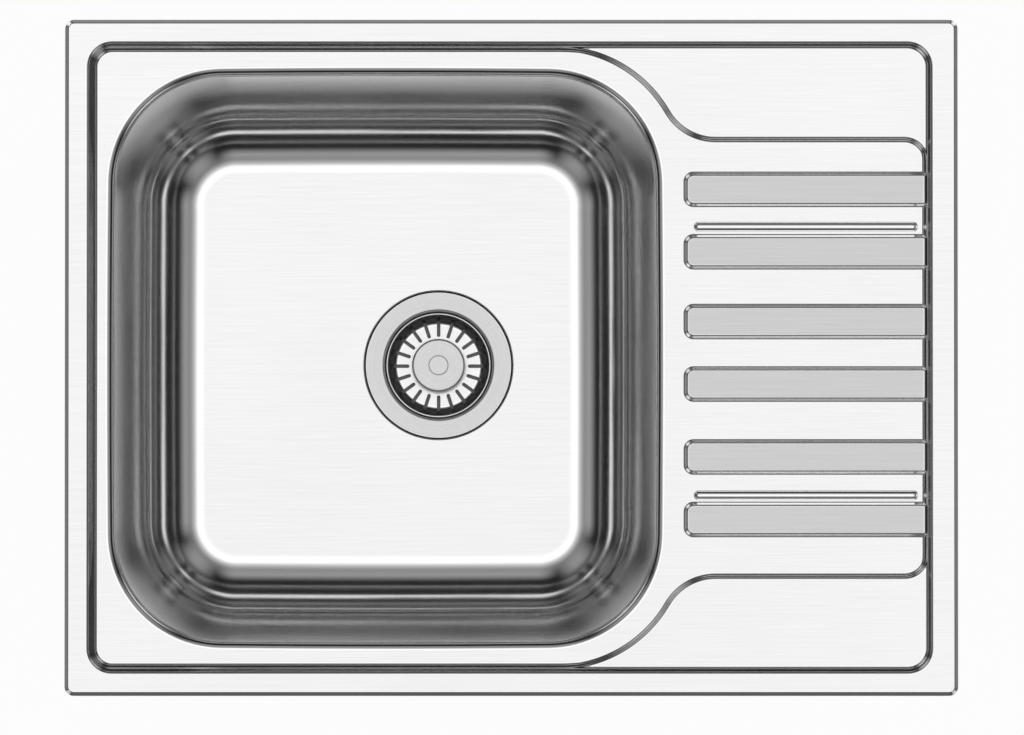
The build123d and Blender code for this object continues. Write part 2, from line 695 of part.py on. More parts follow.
def stopper():
    """Rubber disc with a lip that closes on the cup's floor outside the drain holes."""
    bore = STEM_RADIUS + TURN_CLEARANCE
    lip_foot = -CUP_DEPTH + REST_GAP
    profile = [
        (bore, STOPPER_TOP),
        (STOPPER_RADIUS - STOPPER_LIP / 2, STOPPER_TOP),
        (STOPPER_RADIUS, lip_foot),
        (STOPPER_RADIUS - STOPPER_LIP, lip_foot),
        (STOPPER_RADIUS - 1.5 * STOPPER_LIP, STOPPER_FOOT),
        (bore, STOPPER_FOOT),
    ]
    return turned_polygon(*profile)


def stopper_washer():
    bore = STEM_RADIUS + TURN_CLEARANCE
    edge = STOPPER_WASHER_RADIUS
    return turned_polygon((bore, STOPPER_FOOT), (edge, STOPPER_FOOT), (edge, WASHER_FOOT), (bore, WASHER_FOOT))


def basket_nut():
    return hexagon(STEM_NUT_FLATS, STEM_NUT_FOOT, STEM_NUT, STEM_RADIUS + THREAD_CLEARANCE)


# ------------------------------------------------------------------ seal and pad
def rim_seal():
    """Foam strip between the rim and the worktop."""
    length = SINK_LENGTH - 2 * SEAL_INSET
    width = SINK_WIDTH - 2 * SEAL_INSET
    outer = RectangleRounded(length, width, RIM_CORNER)
    inner = RectangleRounded(length - 2 * SEAL_WIDTH, width - 2 * SEAL_WIDTH, RIM_CORNER)
    return extrude(outer - inner, RIM_HEIGHT - SHEET)


def sound_pad():
    """Heavy self-adhesive pad under the bowl's floor, cut out round the waste."""
    top = FLOOR_Z - SHEET
    middle = WASTE_X + PAD_SHIFT
    pad = Pos(middle, WASTE_Y, top - PAD_THICKNESS) * RectangleRounded(PAD_LENGTH, PAD_WIDTH, PAD_CORNER)
    hole = Pos(WASTE_X, WASTE_Y, top - PAD_THICKNESS) * Circle(PAD_HOLE_RADIUS)
    return extrude(pad - hole, PAD_THICKNESS)


# ------------------------------------------------------------------ rails and clips
# A clip's own frame has +X out to the worktop's cut edge and +Y along the rail.
CLAW_Z = -CLAW_GRIP - CLAW_RISE - CLAW_TOOTH
NUT_Z = CLAW_Z - CLAW_SEAT_GAP
EDGE_PLACES = {
    "right": lambda along: Pos(DECK_X1, along, 0),
    "back": lambda along: Pos(along, DECK_Y1, 0) * Rot(0, 0, 90),
    "left": lambda along: Pos(DECK_X0, along, 0) * Rot(0, 0, 180),
    "front": lambda along: Pos(along, DECK_Y0, 0) * Rot(0, 0, -90),
}
CLIP_REACH = LONG_RAIL_LENGTH / 2 - CLIP_FROM_RAIL_END
CLIPS = [
    ("back", LONG_RAIL_CENTRE - CLIP_REACH),
    ("back", LONG_RAIL_CENTRE + CLIP_REACH),
    ("back", SHORT_RAIL_CENTRE),
    ("front", LONG_RAIL_CENTRE - CLIP_REACH),
    ("front", LONG_RAIL_CENTRE + CLIP_REACH),
    ("front", SHORT_RAIL_CENTRE),
    ("left", 0.0),
    ("right", 0.0),
]


def clip_place(edge, along):
    return EDGE_PLACES[edge](along) * Pos(BOLT_OFFSET, 0, 0)


def clip_rail(edge, centre, length, weld_level):
    """Z-shaped rail: welded flange under the pressing, web, and a slotted flange for the bolts."""
    path = [
        (-RAIL_WELD_FLANGE, weld_level),
        (0, weld_level),
        (0, -RAIL_SEAT),
        (RAIL_FOOT_FLANGE, -RAIL_SEAT),
    ]
    section = bent_strip(path, -RAIL_SHEET, (RAIL_BEND, RAIL_BEND))
    rail = EDGE_PLACES[edge](centre) * extrude(Plane.XZ * section, length / 2, both=True)
    slot = Rot(0, 0, 90) * SlotOverall(SLOT_LENGTH, 2 * (BOLT_RADIUS + SLOT_PLAY))
    cutter = extrude(Pos(0, 0, -RAIL_SEAT - 2 * RAIL_SHEET) * slot, 4 * RAIL_SHEET)
    for clip_edge, along in CLIPS:
        if clip_edge == edge and abs(along - centre) < length / 2:
            rail -= clip_place(edge, along) * cutter
    return rail


def clamp_bolt():
    """Round-headed bolt that hangs in the rail's slot."""
    head = Cylinder(BOLT_HEAD_RADIUS, BOLT_HEAD, align=(Align.CENTER, Align.CENTER, Align.MIN))
    head = chamfer(head.edges().group_by(Axis.Z)[-1], BOLT_HEAD_ROUND)
    tail = -RAIL_SEAT - (NUT_Z - NUT_HEIGHT - BOLT_TAIL)
    shank = Cylinder(BOLT_RADIUS, tail, align=(Align.CENTER, Align.CENTER, Align.MAX))
    shank = chamfer(shank.edges().group_by(Axis.Z)[0], BOLT_RADIUS / 4)
    return Pos(0, 0, -RAIL_SEAT) * (head + shank)


def clamp_claw():
    """Stepped strip that turns on the bolt; its toothed end bites the worktop from below."""
    path = [
        (-CLAW_HEEL, CLAW_Z),
        (CLAW_HEEL + CLAW_SHEET, CLAW_Z),
        (CLAW_HEEL + CLAW_SHEET + CLAW_RISE / 2, CLAW_Z + CLAW_RISE),
        (CLAW_REACH, CLAW_Z + CLAW_RISE),
        (CLAW_REACH, -CLAW_GRIP),
    ]
    section = bent_strip(path, CLAW_SHEET, (CLAW_BEND, CLAW_BEND, CLAW_BEND))
    claw = extrude(Plane.XZ * section, CLAW_WIDTH / 2, both=True)
    heel = claw.edges().filter_by(Axis.Z).group_by(Axis.X)[0]
    claw = fillet(heel, CLAW_WIDTH / 2 - CLAW_BEND)
    claw -= Pos(0, 0, CLAW_Z) * Cylinder(BOLT_RADIUS + NUT_CLEARANCE, 4 * CLAW_SHEET)
    notch = [(-CLAW_NOTCH_WIDTH / 2, 0), (CLAW_NOTCH_WIDTH / 2, 0), (0, -CLAW_NOTCH_DEPTH)]
    cutter = extrude(Plane.YZ * make_face(Polyline(*notch, close=True)), 2 * CLAW_SHEET, both=True)
    claw -= Pos(CLAW_REACH, 0, -CLAW_GRIP) * cutter
    return Rot(0, 0, -90) * claw


def wing_nut():
    """Wing nut under the claw, with its wings pointing away from it."""
    low = Align.MAX
    nut = Cylinder(NUT_RADIUS, NUT_HEIGHT, align=(Align.CENTER, Align.CENTER, low))
    nut += Cylinder(NUT_COLLAR_RADIUS, NUT_COLLAR, align=(Align.CENTER, Align.CENTER, low))
    half = WING_SPAN / 2
    root = NUT_RADIUS - WING_THICKNESS
    wing = [
        (root, -NUT_COLLAR),
        (half - WING_THICKNESS, -NUT_COLLAR - WING_THICKNESS),
        (half, -NUT_COLLAR - 2 * WING_THICKNESS),
        (half, -NUT_HEIGHT - WING_RISE),
        (half - 2 * WING_THICKNESS, -NUT_HEIGHT - WING_RISE),
        (NUT_RADIUS, -NUT_HEIGHT),
        (root, -NUT_HEIGHT),
    ]
    plate = extrude(Plane.XZ * make_face(Polyline(*wing, close=True)), WING_THICKNESS / 2, both=True)
    nut += plate
    nut += Rot(0, 0, 180) * plate
    nut -= Cylinder(BOLT_RADIUS + NUT_CLEARANCE, 4 * NUT_HEIGHT)
    return Pos(0, 0, NUT_Z) * nut


# ------------------------------------------------------------------ write one file per piece
def all_pieces():
    pieces = {
        "deck_pressing": deck_pressing(),
        "bowl_pressing": bowl_pressing(),
        "rim_seal": rim_seal(),
        "sound_pad": sound_pad(),
        "strainer_cup": strainer_cup(),
        "flange_gasket": flange_gasket(),
        "housing_gasket": housing_gasket(),
        "strainer_housing": strainer_housing(),
        "clamp_screw": clamp_screw(),
        "clamp_nut": clamp_nut(),
        "basket_cup": basket_cup(),
        "basket_knob": basket_knob(),
        "knob_cap": knob_cap(),
        "basket_screw": basket_screw(),
        "basket_nut": basket_nut(),
        "stopper": stopper(),
        "stopper_washer": stopper_washer(),
    }
    under_deck = DECK_Z - SHEET
    under_platform = PLATFORM_Z - SHEET
    for edge in ("left", "right"):
        pieces["clip_rail_" + edge] = clip_rail(edge, 0.0, SIDE_RAIL_LENGTH, under_deck)
    for edge in ("front", "back"):
        pieces["clip_rail_" + edge] = clip_rail(edge, LONG_RAIL_CENTRE, LONG_RAIL_LENGTH, under_deck)
        short = clip_rail(edge, SHORT_RAIL_CENTRE, SHORT_RAIL_LENGTH, under_platform)
        pieces["short_rail_" + edge] = short
    bolt = clamp_bolt()
    claw = clamp_claw()
    nut = wing_nut()
    pieces["clamp_bolts"] = Compound([clip_place(*clip) * bolt for clip in CLIPS])
    for number, clip in enumerate(CLIPS, start=1):
        pieces[f"clamp_claw_{number}"] = clip_place(*clip) * claw
        pieces[f"wing_nut_{number}"] = clip_place(*clip) * nut
    return pieces


if __name__ == "__main__":
    os.makedirs("parts", exist_ok=True)
    for name, shape in all_pieces().items():
        export_step(shape, f"parts/{name}.step")
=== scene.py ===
import math

import bpy
import numpy as np
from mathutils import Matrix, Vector
from mathutils.geometry import delaunay_2d_cdt


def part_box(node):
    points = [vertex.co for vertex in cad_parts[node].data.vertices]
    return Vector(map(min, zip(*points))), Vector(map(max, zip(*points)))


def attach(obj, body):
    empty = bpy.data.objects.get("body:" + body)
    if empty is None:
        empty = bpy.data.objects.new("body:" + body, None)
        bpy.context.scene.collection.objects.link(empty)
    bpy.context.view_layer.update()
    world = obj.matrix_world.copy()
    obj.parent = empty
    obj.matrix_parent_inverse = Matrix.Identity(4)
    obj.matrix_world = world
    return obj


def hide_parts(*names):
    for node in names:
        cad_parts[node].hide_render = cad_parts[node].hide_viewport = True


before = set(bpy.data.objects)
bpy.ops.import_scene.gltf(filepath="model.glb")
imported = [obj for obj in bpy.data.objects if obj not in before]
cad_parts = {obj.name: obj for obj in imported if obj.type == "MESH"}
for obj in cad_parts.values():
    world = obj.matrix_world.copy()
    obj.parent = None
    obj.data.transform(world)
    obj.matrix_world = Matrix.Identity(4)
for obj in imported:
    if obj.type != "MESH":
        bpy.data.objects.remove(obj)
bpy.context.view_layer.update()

# Every size below is in millimetres. Meshes are written in metres, in the frame's own place.
MM = 0.001

# ------------------------------------------------------------------ sink sizes
SINK_LENGTH, SINK_WIDTH = 660.0, 500.0
SHEET = 0.8
RIM_TOP = 5.0
RIM_CORNER = 7.0
RIM_BEVEL, RIM_BEND, RIM_NOSE = 3.4, 1.4, 0.8
BEVEL_SLOPE = math.radians(38.0)
LIP_FOOT = 0.3
DECK_Z = -3.5
PLATFORM_Z = 0.0
FLOOR_Z = -183.5
STEP_ANGLE = math.radians(55.0)
STEP_BEND = 3.0
STEP_REACH = STEP_BEND * math.tan(STEP_ANGLE / 2)
STEP_RUN = (RIM_TOP - DECK_Z) / math.tan(STEP_ANGLE)
RIM_LEFT, RIM_RIGHT, RIM_FRONT, RIM_BACK = 15.6, 17.9, 15.8, 15.4
RING_X0 = -SINK_LENGTH / 2 + RIM_LEFT + STEP_REACH
RING_X1 = SINK_LENGTH / 2 - RIM_RIGHT - STEP_REACH
RING_Y0 = -SINK_WIDTH / 2 + RIM_FRONT + STEP_REACH
RING_Y1 = SINK_WIDTH / 2 - RIM_BACK - STEP_REACH
RING_CORNER = 18.0

LOBE_RADIUS, LOBE_X, LOBE_LAP = 93.4, 33.5, 0.8
RETURN_RADIUS = 42.5
DRAIN_HALF, DRAIN_CORNER = 160.2, 15.0

RIB_LEFT, RIB_WIDTH, RIB_HEIGHT = 127.7, 25.5, 2.8
RIB_CORNER, RIB_BEND = 7.0, 2.0
RIB_SLOPE = math.radians(50.0)
RIB_PAIRS, RIB_PAIR_HALF = (101.5, 3.7, -96.4), 23.1
RIB_CENTRES = [middle + side * RIB_PAIR_HALF for middle in RIB_PAIRS for side in (1, -1)]
ROD_LEFT, ROD_RIGHT, ROD_WIDTH, ROD_HEIGHT = 135.0, 300.5, 7.0, 2.0
ROD_CENTRES = (97.0, -101.6)

BOWL_HALF_X = 207.0
GAP_LEFT, GAP_FRONT, GAP_BACK = 5.0, 8.6, 9.2
BOWL_X = RING_X0 + STEP_RUN + STEP_REACH + GAP_LEFT + BOWL_HALF_X
BOWL_FRONT = RING_Y0 + STEP_RUN + STEP_REACH + GAP_FRONT
BOWL_BACK = RING_Y1 - STEP_RUN - STEP_REACH - GAP_BACK
BOWL_Y = (BOWL_FRONT + BOWL_BACK) / 2
BOWL_HALF_Y = (BOWL_BACK - BOWL_FRONT) / 2
BOWL_CORNER, BOWL_BOW, BOWL_BEND, BOWL_FLANGE = 86.0, 1.7, 7.5, 2.0
DRAFT_X, DRAFT_Y = math.radians(8.0), math.radians(9.2)
FOOT_CORNER, FOOT_BOW, FLOOR_BEND = 64.0, 1.0, 45.0
WASTE_X, WASTE_Y = -55.0, 0.0
SEAT_TOP, SEAT_FOOT, SEAT_DEPTH, WASTE_HOLE = 56.2, 55.0, 2.4, 45.0

# Sizes round the waste's axis: radius, and height over the bowl's floor.
FLANGE_RADIUS, FLANGE_SHEET, FLANGE_TOP = 54.4, 1.0, -0.2
CUP_RADIUS, CUP_FOOT_RADIUS, CUP_FLOOR = 40.6, 37.6, -33.0
CUP_MOUTH_BEND, CUP_FOOT_BEND = 1.2, 6.0
WELL_RADIUS, WELL_FLOOR, WELL_HOLE, WELL_BEND = 9.5, -41.0, 4.25, 1.0
DRAIN_HOLES, DRAIN_HOLE_RADIUS, DRAIN_HOLE_CIRCLE = 8, 3.6, 15.6
BASKET_SHEET, BASKET_RIM, BASKET_FLOOR = 0.8, -4.9, -27.0
BASKET_RADIUS, BASKET_FOOT_RADIUS, BASKET_FOOT_BEND, BASKET_BEAD = 38.4, 36.6, 7.0, 0.9
BASKET_SLOTS, SLOT_WIDTH, SLOT_INNER, SLOT_OUTER = 20, 2.7, 22.1, 36.9
KNOB_RADIUS, KNOB_FACE_RADIUS, KNOB_TOP, KNOB_DISC = 19.95, 18.75, -3.0, 3.2
KNOB_NECK, KNOB_NECK_FOOT = 7.0, 9.0
CAP_RADIUS, CAP_SEAT, CAP_GAP = 7.2, -4.2, 0.1
STEM_WAY, STEM_HEAD_WAY, STEM_SEAT = 2.55, 4.6, -7.3
OUTLET_RADIUS, THREAD_TOP, THREAD_FOOT, THREAD_PITCH, THREAD_RIDGE = 23.9, -69.0, -88.2, 3.2, 0.85
OUTLET_END = -272.5

BOLT_THREAD_RADIUS, BOLT_THREAD_PITCH, BOLT_RIDGE = 2.86, 1.0, 0.27
BOLT_THREAD_START, BOLT_THREAD_LENGTH = 0.9, 44.0
OUTLET_STEPS, BOLT_STEPS = 72, 14

BOWL_MOUTH = (BOWL_HALF_X + BOWL_FLANGE, BOWL_HALF_Y + BOWL_FLANGE, BOWL_BOW, BOWL_CORNER + BOWL_FLANGE)
AXIS_PLACE = (WASTE_X * MM, WASTE_Y * MM, 0.0)
WELD = 0.002 * MM
SHARP = math.radians(35.0)
PALE = 0.97


# ------------------------------------------------------------------ mesh helpers
UP = np.array([0.0, 0.0, 1.0])
WELD_DIGITS = 4


def at_height(plan, z):
    """Points or directions in plan, all given the same height."""
    return np.column_stack([plan, np.broadcast_to(z, (len(plan), 1))])


def placed(name, data):
    """New object with some data, linked into the scene."""
    made = bpy.data.objects.new(name, data)
    bpy.context.scene.collection.objects.link(made)
    return made
class Surface:
    """Collects faces with a normal at each corner, and welds points that share a place."""

    def __init__(self):
        self.points = []
        self.normals = []
        self.faces = []
        self.count = 0

    def add(self, points, normals, faces):
        points = np.asarray(points, float)
        self.points.append(points)
        self.normals.append(np.broadcast_to(np.asarray(normals, float), points.shape))
        self.faces += [tuple(i + self.count for i in f) for f in np.asarray(faces).tolist()]
        self.count += len(points)

    def grid(self, rows, normals, closed=True, flip=False):
        """Quads between rows of points. Rows run across, and close on themselves if asked."""
        rows = np.asarray(rows, float)
        normals = np.broadcast_to(np.asarray(normals, float), rows.shape)
        n_rows, n = rows.shape[:2]
        last = n if closed else n - 1
        i, j = np.meshgrid(np.arange(n_rows - 1), np.arange(last), indexing="ij")
        a = i * n + j
        b = i * n + (j + 1) % n
        c = (i + 1) * n + (j + 1) % n
        d = (i + 1) * n + j
        quad = [a, d, c, b] if flip else [a, b, c, d]
        faces = np.stack(quad, -1).reshape(-1, 4)
        self.add(rows.reshape(-1, 3), normals.reshape(-1, 3), faces)

    def sheet(self, upper, normals, triangles, thickness):
        """Both faces of a sheet, from its upper one. Gives the lower one's points."""
        lower = upper - thickness * normals
        self.add(upper, normals, triangles)
        self.add(lower, -normals, triangles[:, ::-1])
        return lower

    def shell(self, rows, normals, flip=False):
        """Both faces of a pressed sheet, from the outer one's rows. Gives the inner one's rows."""
        inner = [row - SHEET * normal for row, normal in zip(rows, normals)]
        self.grid(rows, normals, flip=flip)
        self.grid(inner, [-normal for normal in normals], flip=not flip)
        return inner

    def piece(self, name):
        """Object from the faces, without those that welding leaves with no area."""
        points = np.concatenate(self.points)
        normals = np.concatenate(self.normals)
        # Adding zero takes the sign off negative zeros.
        keys = np.round(points, WELD_DIGITS) + 0.0
        unique, inverse = np.unique(keys, axis=0, return_inverse=True)
        inverse = inverse.reshape(-1)
        places = np.zeros_like(unique)
        places[inverse] = points
        faces, corner_normals = [], []
        for face in self.faces:
            ids = [int(inverse[i]) for i in face]
            kept = [k for k in range(len(ids)) if ids[k] != ids[k - 1]]
            if len(kept) < 3 or len({ids[k] for k in kept}) < len(kept):
                continue
            faces.append([ids[k] for k in kept])
            corner_normals += [normals[face[k]] for k in kept]
        mesh = bpy.data.meshes.new(name)
        mesh.from_pydata((places * MM).tolist(), [], faces)
        mesh.shade_smooth()
        corner_normals = np.array(corner_normals)
        corner_normals /= np.linalg.norm(corner_normals, axis=1, keepdims=True)
        mesh.normals_split_custom_set(corner_normals.tolist())
        return placed(name, mesh)


def bend_step(s, high, drop, slope, top_bend, foot_bend):
    """Height of a sloped step with round bends. s is the way down from its upper corner line."""
    low = high - drop
    run = drop / math.tan(slope)
    z = high - s * math.tan(slope)
    start = s + top_bend * math.tan(slope / 2)
    top = high - top_bend + np.sqrt(np.clip(top_bend ** 2 - start ** 2, 0, None))
    z = np.where(start < top_bend * math.sin(slope), top, z)
    z = np.where(start < 0, high, z)
    end = s - run - foot_bend * math.tan(slope / 2)
    foot = low + foot_bend - np.sqrt(np.clip(foot_bend ** 2 - end ** 2, 0, None))
    z = np.where(end > -foot_bend * math.sin(slope), foot, z)
    return np.where(end > 0, low, z)


def inside_rectangle(x, y, x0, x1, y0, y1, corner):
    """Distance inside a rectangle with round corners, negative outside it."""
    qx = np.abs(x - (x0 + x1) / 2) - (x1 - x0) / 2 + corner
    qy = np.abs(y - (y0 + y1) / 2) - (y1 - y0) / 2 + corner
    outside = np.hypot(np.clip(qx, 0, None), np.clip(qy, 0, None))
    return corner - outside - np.minimum(np.maximum(qx, qy), 0)


def smooth_max(a, b, k):
    """The larger of two heights, blended where they differ by less than k."""
    near = np.clip(k - np.abs(a - b), 0, None)
    return np.maximum(a, b) + near ** 2 / (4 * np.maximum(k, 1e-9))


def s_curve(edge_y):
    """Centres and end angles of the S-shaped side that leads from the deck to the drainboard."""
    lobe_y = edge_y - LOBE_RADIUS
    return_y = DRAIN_HALF + RETURN_RADIUS
    reach = LOBE_RADIUS + RETURN_RADIUS
    return_x = LOBE_X + math.sqrt(reach ** 2 - (return_y - lobe_y) ** 2)
    lean = math.atan2(return_y - lobe_y, return_x - LOBE_X)
    right = RING_X1 - STEP_RUN + LOBE_LAP
    return lobe_y, return_x, return_y, lean, right


BACK_EDGE = RING_Y1 - STEP_RUN + LOBE_LAP
FRONT_EDGE = -(RING_Y0 + STEP_RUN - LOBE_LAP)
FAR = 1e3


def inside_deck(x, y):
    """Distance inside the foot line of the deck's S-shaped sides, negative on the platforms."""
    result = np.full(np.shape(x), FAR)
    for edge_y, half in ((BACK_EDGE, y >= 0), (FRONT_EDGE, y < 0)):
        lobe_y, return_x, return_y, lean, right = s_curve(edge_y)
        across = np.abs(y)
        best = np.full(np.shape(x), FAR)

        def nearer(distance, valid):
            better = valid & (np.abs(distance) < np.abs(best))
            return np.where(better, distance, best)

        best = nearer(edge_y - across, x <= LOBE_X)
        turn = np.arctan2(across - lobe_y, x - LOBE_X)
        away = np.hypot(x - LOBE_X, across - lobe_y)
        best = nearer(LOBE_RADIUS - away, (turn >= lean) & (x >= LOBE_X))
        turn = np.arctan2(return_y - across, return_x - x)
        away = np.hypot(x - return_x, across - return_y)
        best = nearer(away - RETURN_RADIUS, (turn >= lean) & (x <= return_x) & (across <= return_y))
        last_x, last_y = right - DRAIN_CORNER, DRAIN_HALF - DRAIN_CORNER
        best = nearer(DRAIN_HALF - across, (x >= return_x) & (x <= last_x))
        corner = DRAIN_CORNER - np.hypot(x - last_x, across - last_y)
        best = nearer(corner, (x >= last_x) & (across >= last_y))
        best = nearer(right - x, across <= last_y)
        result = np.where(half, best, result)
    return result


RIB_RUN = RIB_HEIGHT / math.tan(RIB_SLOPE)
RIB_BLEND = 2.5
ROD_RADIUS = (ROD_WIDTH ** 2 / 4 + ROD_HEIGHT ** 2) / (2 * ROD_HEIGHT)
ROD_BLEND, ROD_MARGIN = 0.7, 1.5


def deck_height(x, y):
    """Height of the pressed top's upper face."""
    in_ring = inside_rectangle(x, y, RING_X0, RING_X1, RING_Y0, RING_Y1, RING_CORNER)
    over_platform = bend_step(in_ring, RIM_TOP, RIM_TOP - PLATFORM_Z, STEP_ANGLE, STEP_BEND, STEP_BEND)
    over_deck = bend_step(in_ring, RIM_TOP, RIM_TOP - DECK_Z, STEP_ANGLE, STEP_BEND, STEP_BEND)
    drop = PLATFORM_Z - DECK_Z
    from_top = inside_deck(x, y) + drop / math.tan(STEP_ANGLE)
    share = -bend_step(from_top, 0.0, drop, STEP_ANGLE, STEP_BEND, STEP_BEND) / drop
    z = over_platform + share * (over_deck - over_platform)
    for centre in RIB_CENTRES:
        in_rib = inside_rectangle(
            x, y, RIB_LEFT, RING_X1 + RIB_WIDTH, centre - RIB_WIDTH / 2, centre + RIB_WIDTH / 2, RIB_CORNER)
        rib = bend_step(RIB_RUN - in_rib, DECK_Z + RIB_HEIGHT, RIB_HEIGHT, RIB_SLOPE, RIB_BEND, RIB_BEND)
        raised = np.clip((rib - DECK_Z) / RIB_HEIGHT, 0, 1)
        z = np.where(raised > 0, smooth_max(z, rib, RIB_BLEND * raised), z)
    for centre in ROD_CENTRES:
        along = np.clip(x, ROD_LEFT + ROD_WIDTH / 2, ROD_RIGHT - ROD_WIDTH / 2)
        away = np.hypot(x - along, y - centre)
        cap = DECK_Z + ROD_HEIGHT - ROD_RADIUS + np.sqrt(np.clip(ROD_RADIUS ** 2 - away ** 2, 0, None))
        rod = cap - np.clip(away - ROD_WIDTH / 2, 0, None)
        z = np.where(away < ROD_WIDTH / 2 + ROD_MARGIN, smooth_max(z, rod, ROD_BLEND), z)
    return z


def deck_normal(x, y):
    e = 1e-3
    dx = (deck_height(x + e, y) - deck_height(x - e, y)) / (2 * e)
    dy = (deck_height(x, y + e) - deck_height(x, y - e)) / (2 * e)
    normal = np.stack([-dx, -dy, np.ones_like(dx)], -1)
    return normal / np.linalg.norm(normal, axis=-1, keepdims=True)


def rectangle_loop(x0, x1, y0, y1, corner, steps=14):
    """Points round a rectangle with round corners, and the outward direction at each."""
    points, outward = [], []
    centres = [(x1 - corner, y1 - corner, 0), (x0 + corner, y1 - corner, 90),
               (x0 + corner, y0 + corner, 180), (x1 - corner, y0 + corner, 270)]
    for cx, cy, start in centres:
        for k in range(steps + 1):
            angle = math.radians(start + 90 * k / steps)
            direction = (math.cos(angle), math.sin(angle))
            points.append((cx + corner * direction[0], cy + corner * direction[1]))
            outward.append(direction)
    return np.array(points), np.array(outward)


def bowed_loop(half_x, half_y, bow, corner, side_steps=20, corner_steps=26):
    """Points round a rectangle with bowed sides and round corners about the bowl's middle."""
    side_x = ((half_y - bow) ** 2 + bow ** 2) / (2 * bow)
    side_y = ((half_x - bow) ** 2 + bow ** 2) / (2 * bow)
    cx, cy = half_x - side_x, half_y - side_y
    qx, qy = half_x - corner, half_y - corner
    # The corner arc's centre, from which it touches both side arcs, found in repeated steps.
    for _ in range(40):
        qx = cx + math.sqrt((side_x - corner) ** 2 - qy ** 2)
        qy = cy + math.sqrt((side_y - corner) ** 2 - qx ** 2)
    low = math.atan2(qy, qx - cx)
    high = math.atan2(qy - cy, qx)
    quarter, directions = [], []
    for centre, radius, start, end, steps, stops in (
            ((cx, 0), side_x, 0.0, low, side_steps, range(side_steps)),
            ((qx, qy), corner, low, high, corner_steps, range(corner_steps + 1)),
            ((0, cy), side_y, high, math.pi / 2, side_steps, range(1, side_steps))):
        for k in stops:
            angle = start + (end - start) * k / steps
            c, s = math.cos(angle), math.sin(angle)
            quarter.append((centre[0] + radius * c, centre[1] + radius * s))
            directions.append((c, s))
    quarter = np.array(quarter + [(0.0, half_y)])
    directions = np.array(directions + [(0.0, 1.0)])
    points, outward = [], []
    for sx, sy in ((1, 1), (-1, 1), (-1, -1), (1, -1)):
        order = slice(None, -1) if sx * sy > 0 else slice(None, 0, -1)
        points.append((quarter * (sx, sy))[order])
        outward.append((directions * (sx, sy))[order])
    return np.concatenate(points) + (BOWL_X, BOWL_Y), np.concatenate(outward)


def triangulate(points, edges, outer, hole):
    """Constrained triangles between an outer loop and a hole, facing up, and twice their areas.

    Points that were given keep their exact places.
    """
    given = [Vector((float(x), float(y))) for x, y in points]
    out, _, faces, origin, _, _ = delaunay_2d_cdt(given, edges, [], 0, 1e-4)
    places = np.array([tuple(v) for v in out])
    for i, source in enumerate(origin):
        if source:
            places[i] = points[source[0]]
    triangles = np.array(faces)
    centroids = places[triangles].mean(1)
    triangles = triangles[within(outer, centroids) & ~within(hole, centroids)]
    a, b, c = (places[triangles[:, k]] for k in range(3))
    area = (b[:, 0] - a[:, 0]) * (c[:, 1] - a[:, 1]) - (b[:, 1] - a[:, 1]) * (c[:, 0] - a[:, 0])
    triangles[area < 0] = triangles[area < 0][:, ::-1]
    return places, triangles, np.abs(area)


def within(loop, points):
    """True where points lie inside a closed loop."""
    inside = np.zeros(len(points), bool)
    x, y = points[:, 0], points[:, 1]
    for (x0, y0), (x1, y1) in zip(loop, np.roll(loop, -1, axis=0)):
        crosses = (y0 > y) != (y1 > y)
        if crosses.any() and y0 != y1:
            at = x0 + (y - y0) * (x1 - x0) / (y1 - y0)
            inside ^= crosses & (x < at)
    return inside


# ------------------------------------------------------------------ pressed top
def step_offsets(drop, slope, bend, arc_steps, slope_steps):
    """Ways down a bent step at which its surface gets a line of points."""
    run = drop / math.tan(slope)
    reach = bend * math.tan(slope / 2)
    angles = np.linspace(0, slope, arc_steps + 1)
    top = -reach + bend * np.sin(angles)
    foot = run + reach - bend * np.sin(angles[::-1])
    middle = np.linspace(top[-1], foot[0], slope_steps + 1)[1:-1]
    return np.concatenate([top, middle, foot])


def add_loop(points, edges, loop, closed=True):
    base = len(points)
    points += [tuple(p) for p in loop]
    n = len(loop)
    for i in range(n if closed else n - 1):
        edges.append((base + i, base + (i + 1) % n))


def arc_points(cx, cy, radius, start, end, steps):
    angles = np.linspace(start, end, steps + 1)
    return [(cx + radius * math.cos(a), cy + radius * math.sin(a)) for a in angles]


def mark_rib_tops(piece):
    """Point attribute that is 1 on the ribs' flat tops, where the finish is darker and rougher."""
    places = np.array([v.co for v in piece.data.vertices]) / MM
    top = DECK_Z + RIB_HEIGHT
    on_top = np.abs(places[:, 2] - top) < 0.02
    in_rib = np.zeros(len(places), bool)
    for centre in RIB_CENTRES:
        in_rib |= (np.abs(places[:, 1] - centre) < RIB_WIDTH / 2) & (places[:, 0] > RIB_LEFT)
    mask = piece.data.attributes.new("rib_top", "FLOAT", "POINT")
    mask.data.foreach_set("value", (on_top & in_rib).astype(np.float32))


# Steps along the pressed top's arcs, how far its lines run on past them, and the rods' rings.
RIM_STEPS, LOBE_STEPS, RETURN_STEPS, DRAIN_STEPS, RIB_STEPS, ROD_STEPS = 10, 34, 26, 12, 8, 14
RUN_ON, RIB_END = 12.0, 1.5
# Steps over each bend and down the slope between them, of the ring, the sides and the ribs.
RING_BENDS, SIDE_BENDS, RIB_BENDS = (7, 7), (6, 1), (5, 2)
ROD_RINGS = (4.05, 3.75, 3.45, 3.1, 2.6, 2.0, 1.3, 0.65)


# Patches of points where two steps meet: start, end and spacing along X, and the same across it.
RIB_PATCH = (-9.0, -1.0, 0.6), (-1.2, 1.3, 0.6)
LOBE_PATCH = (-RUN_ON, 50.0, 1.5), (-11.0, 4.0, 0.7)
DRAIN_PATCH = (-17.0, 5.0, 0.8), (-20.0, 5.0, 0.8)


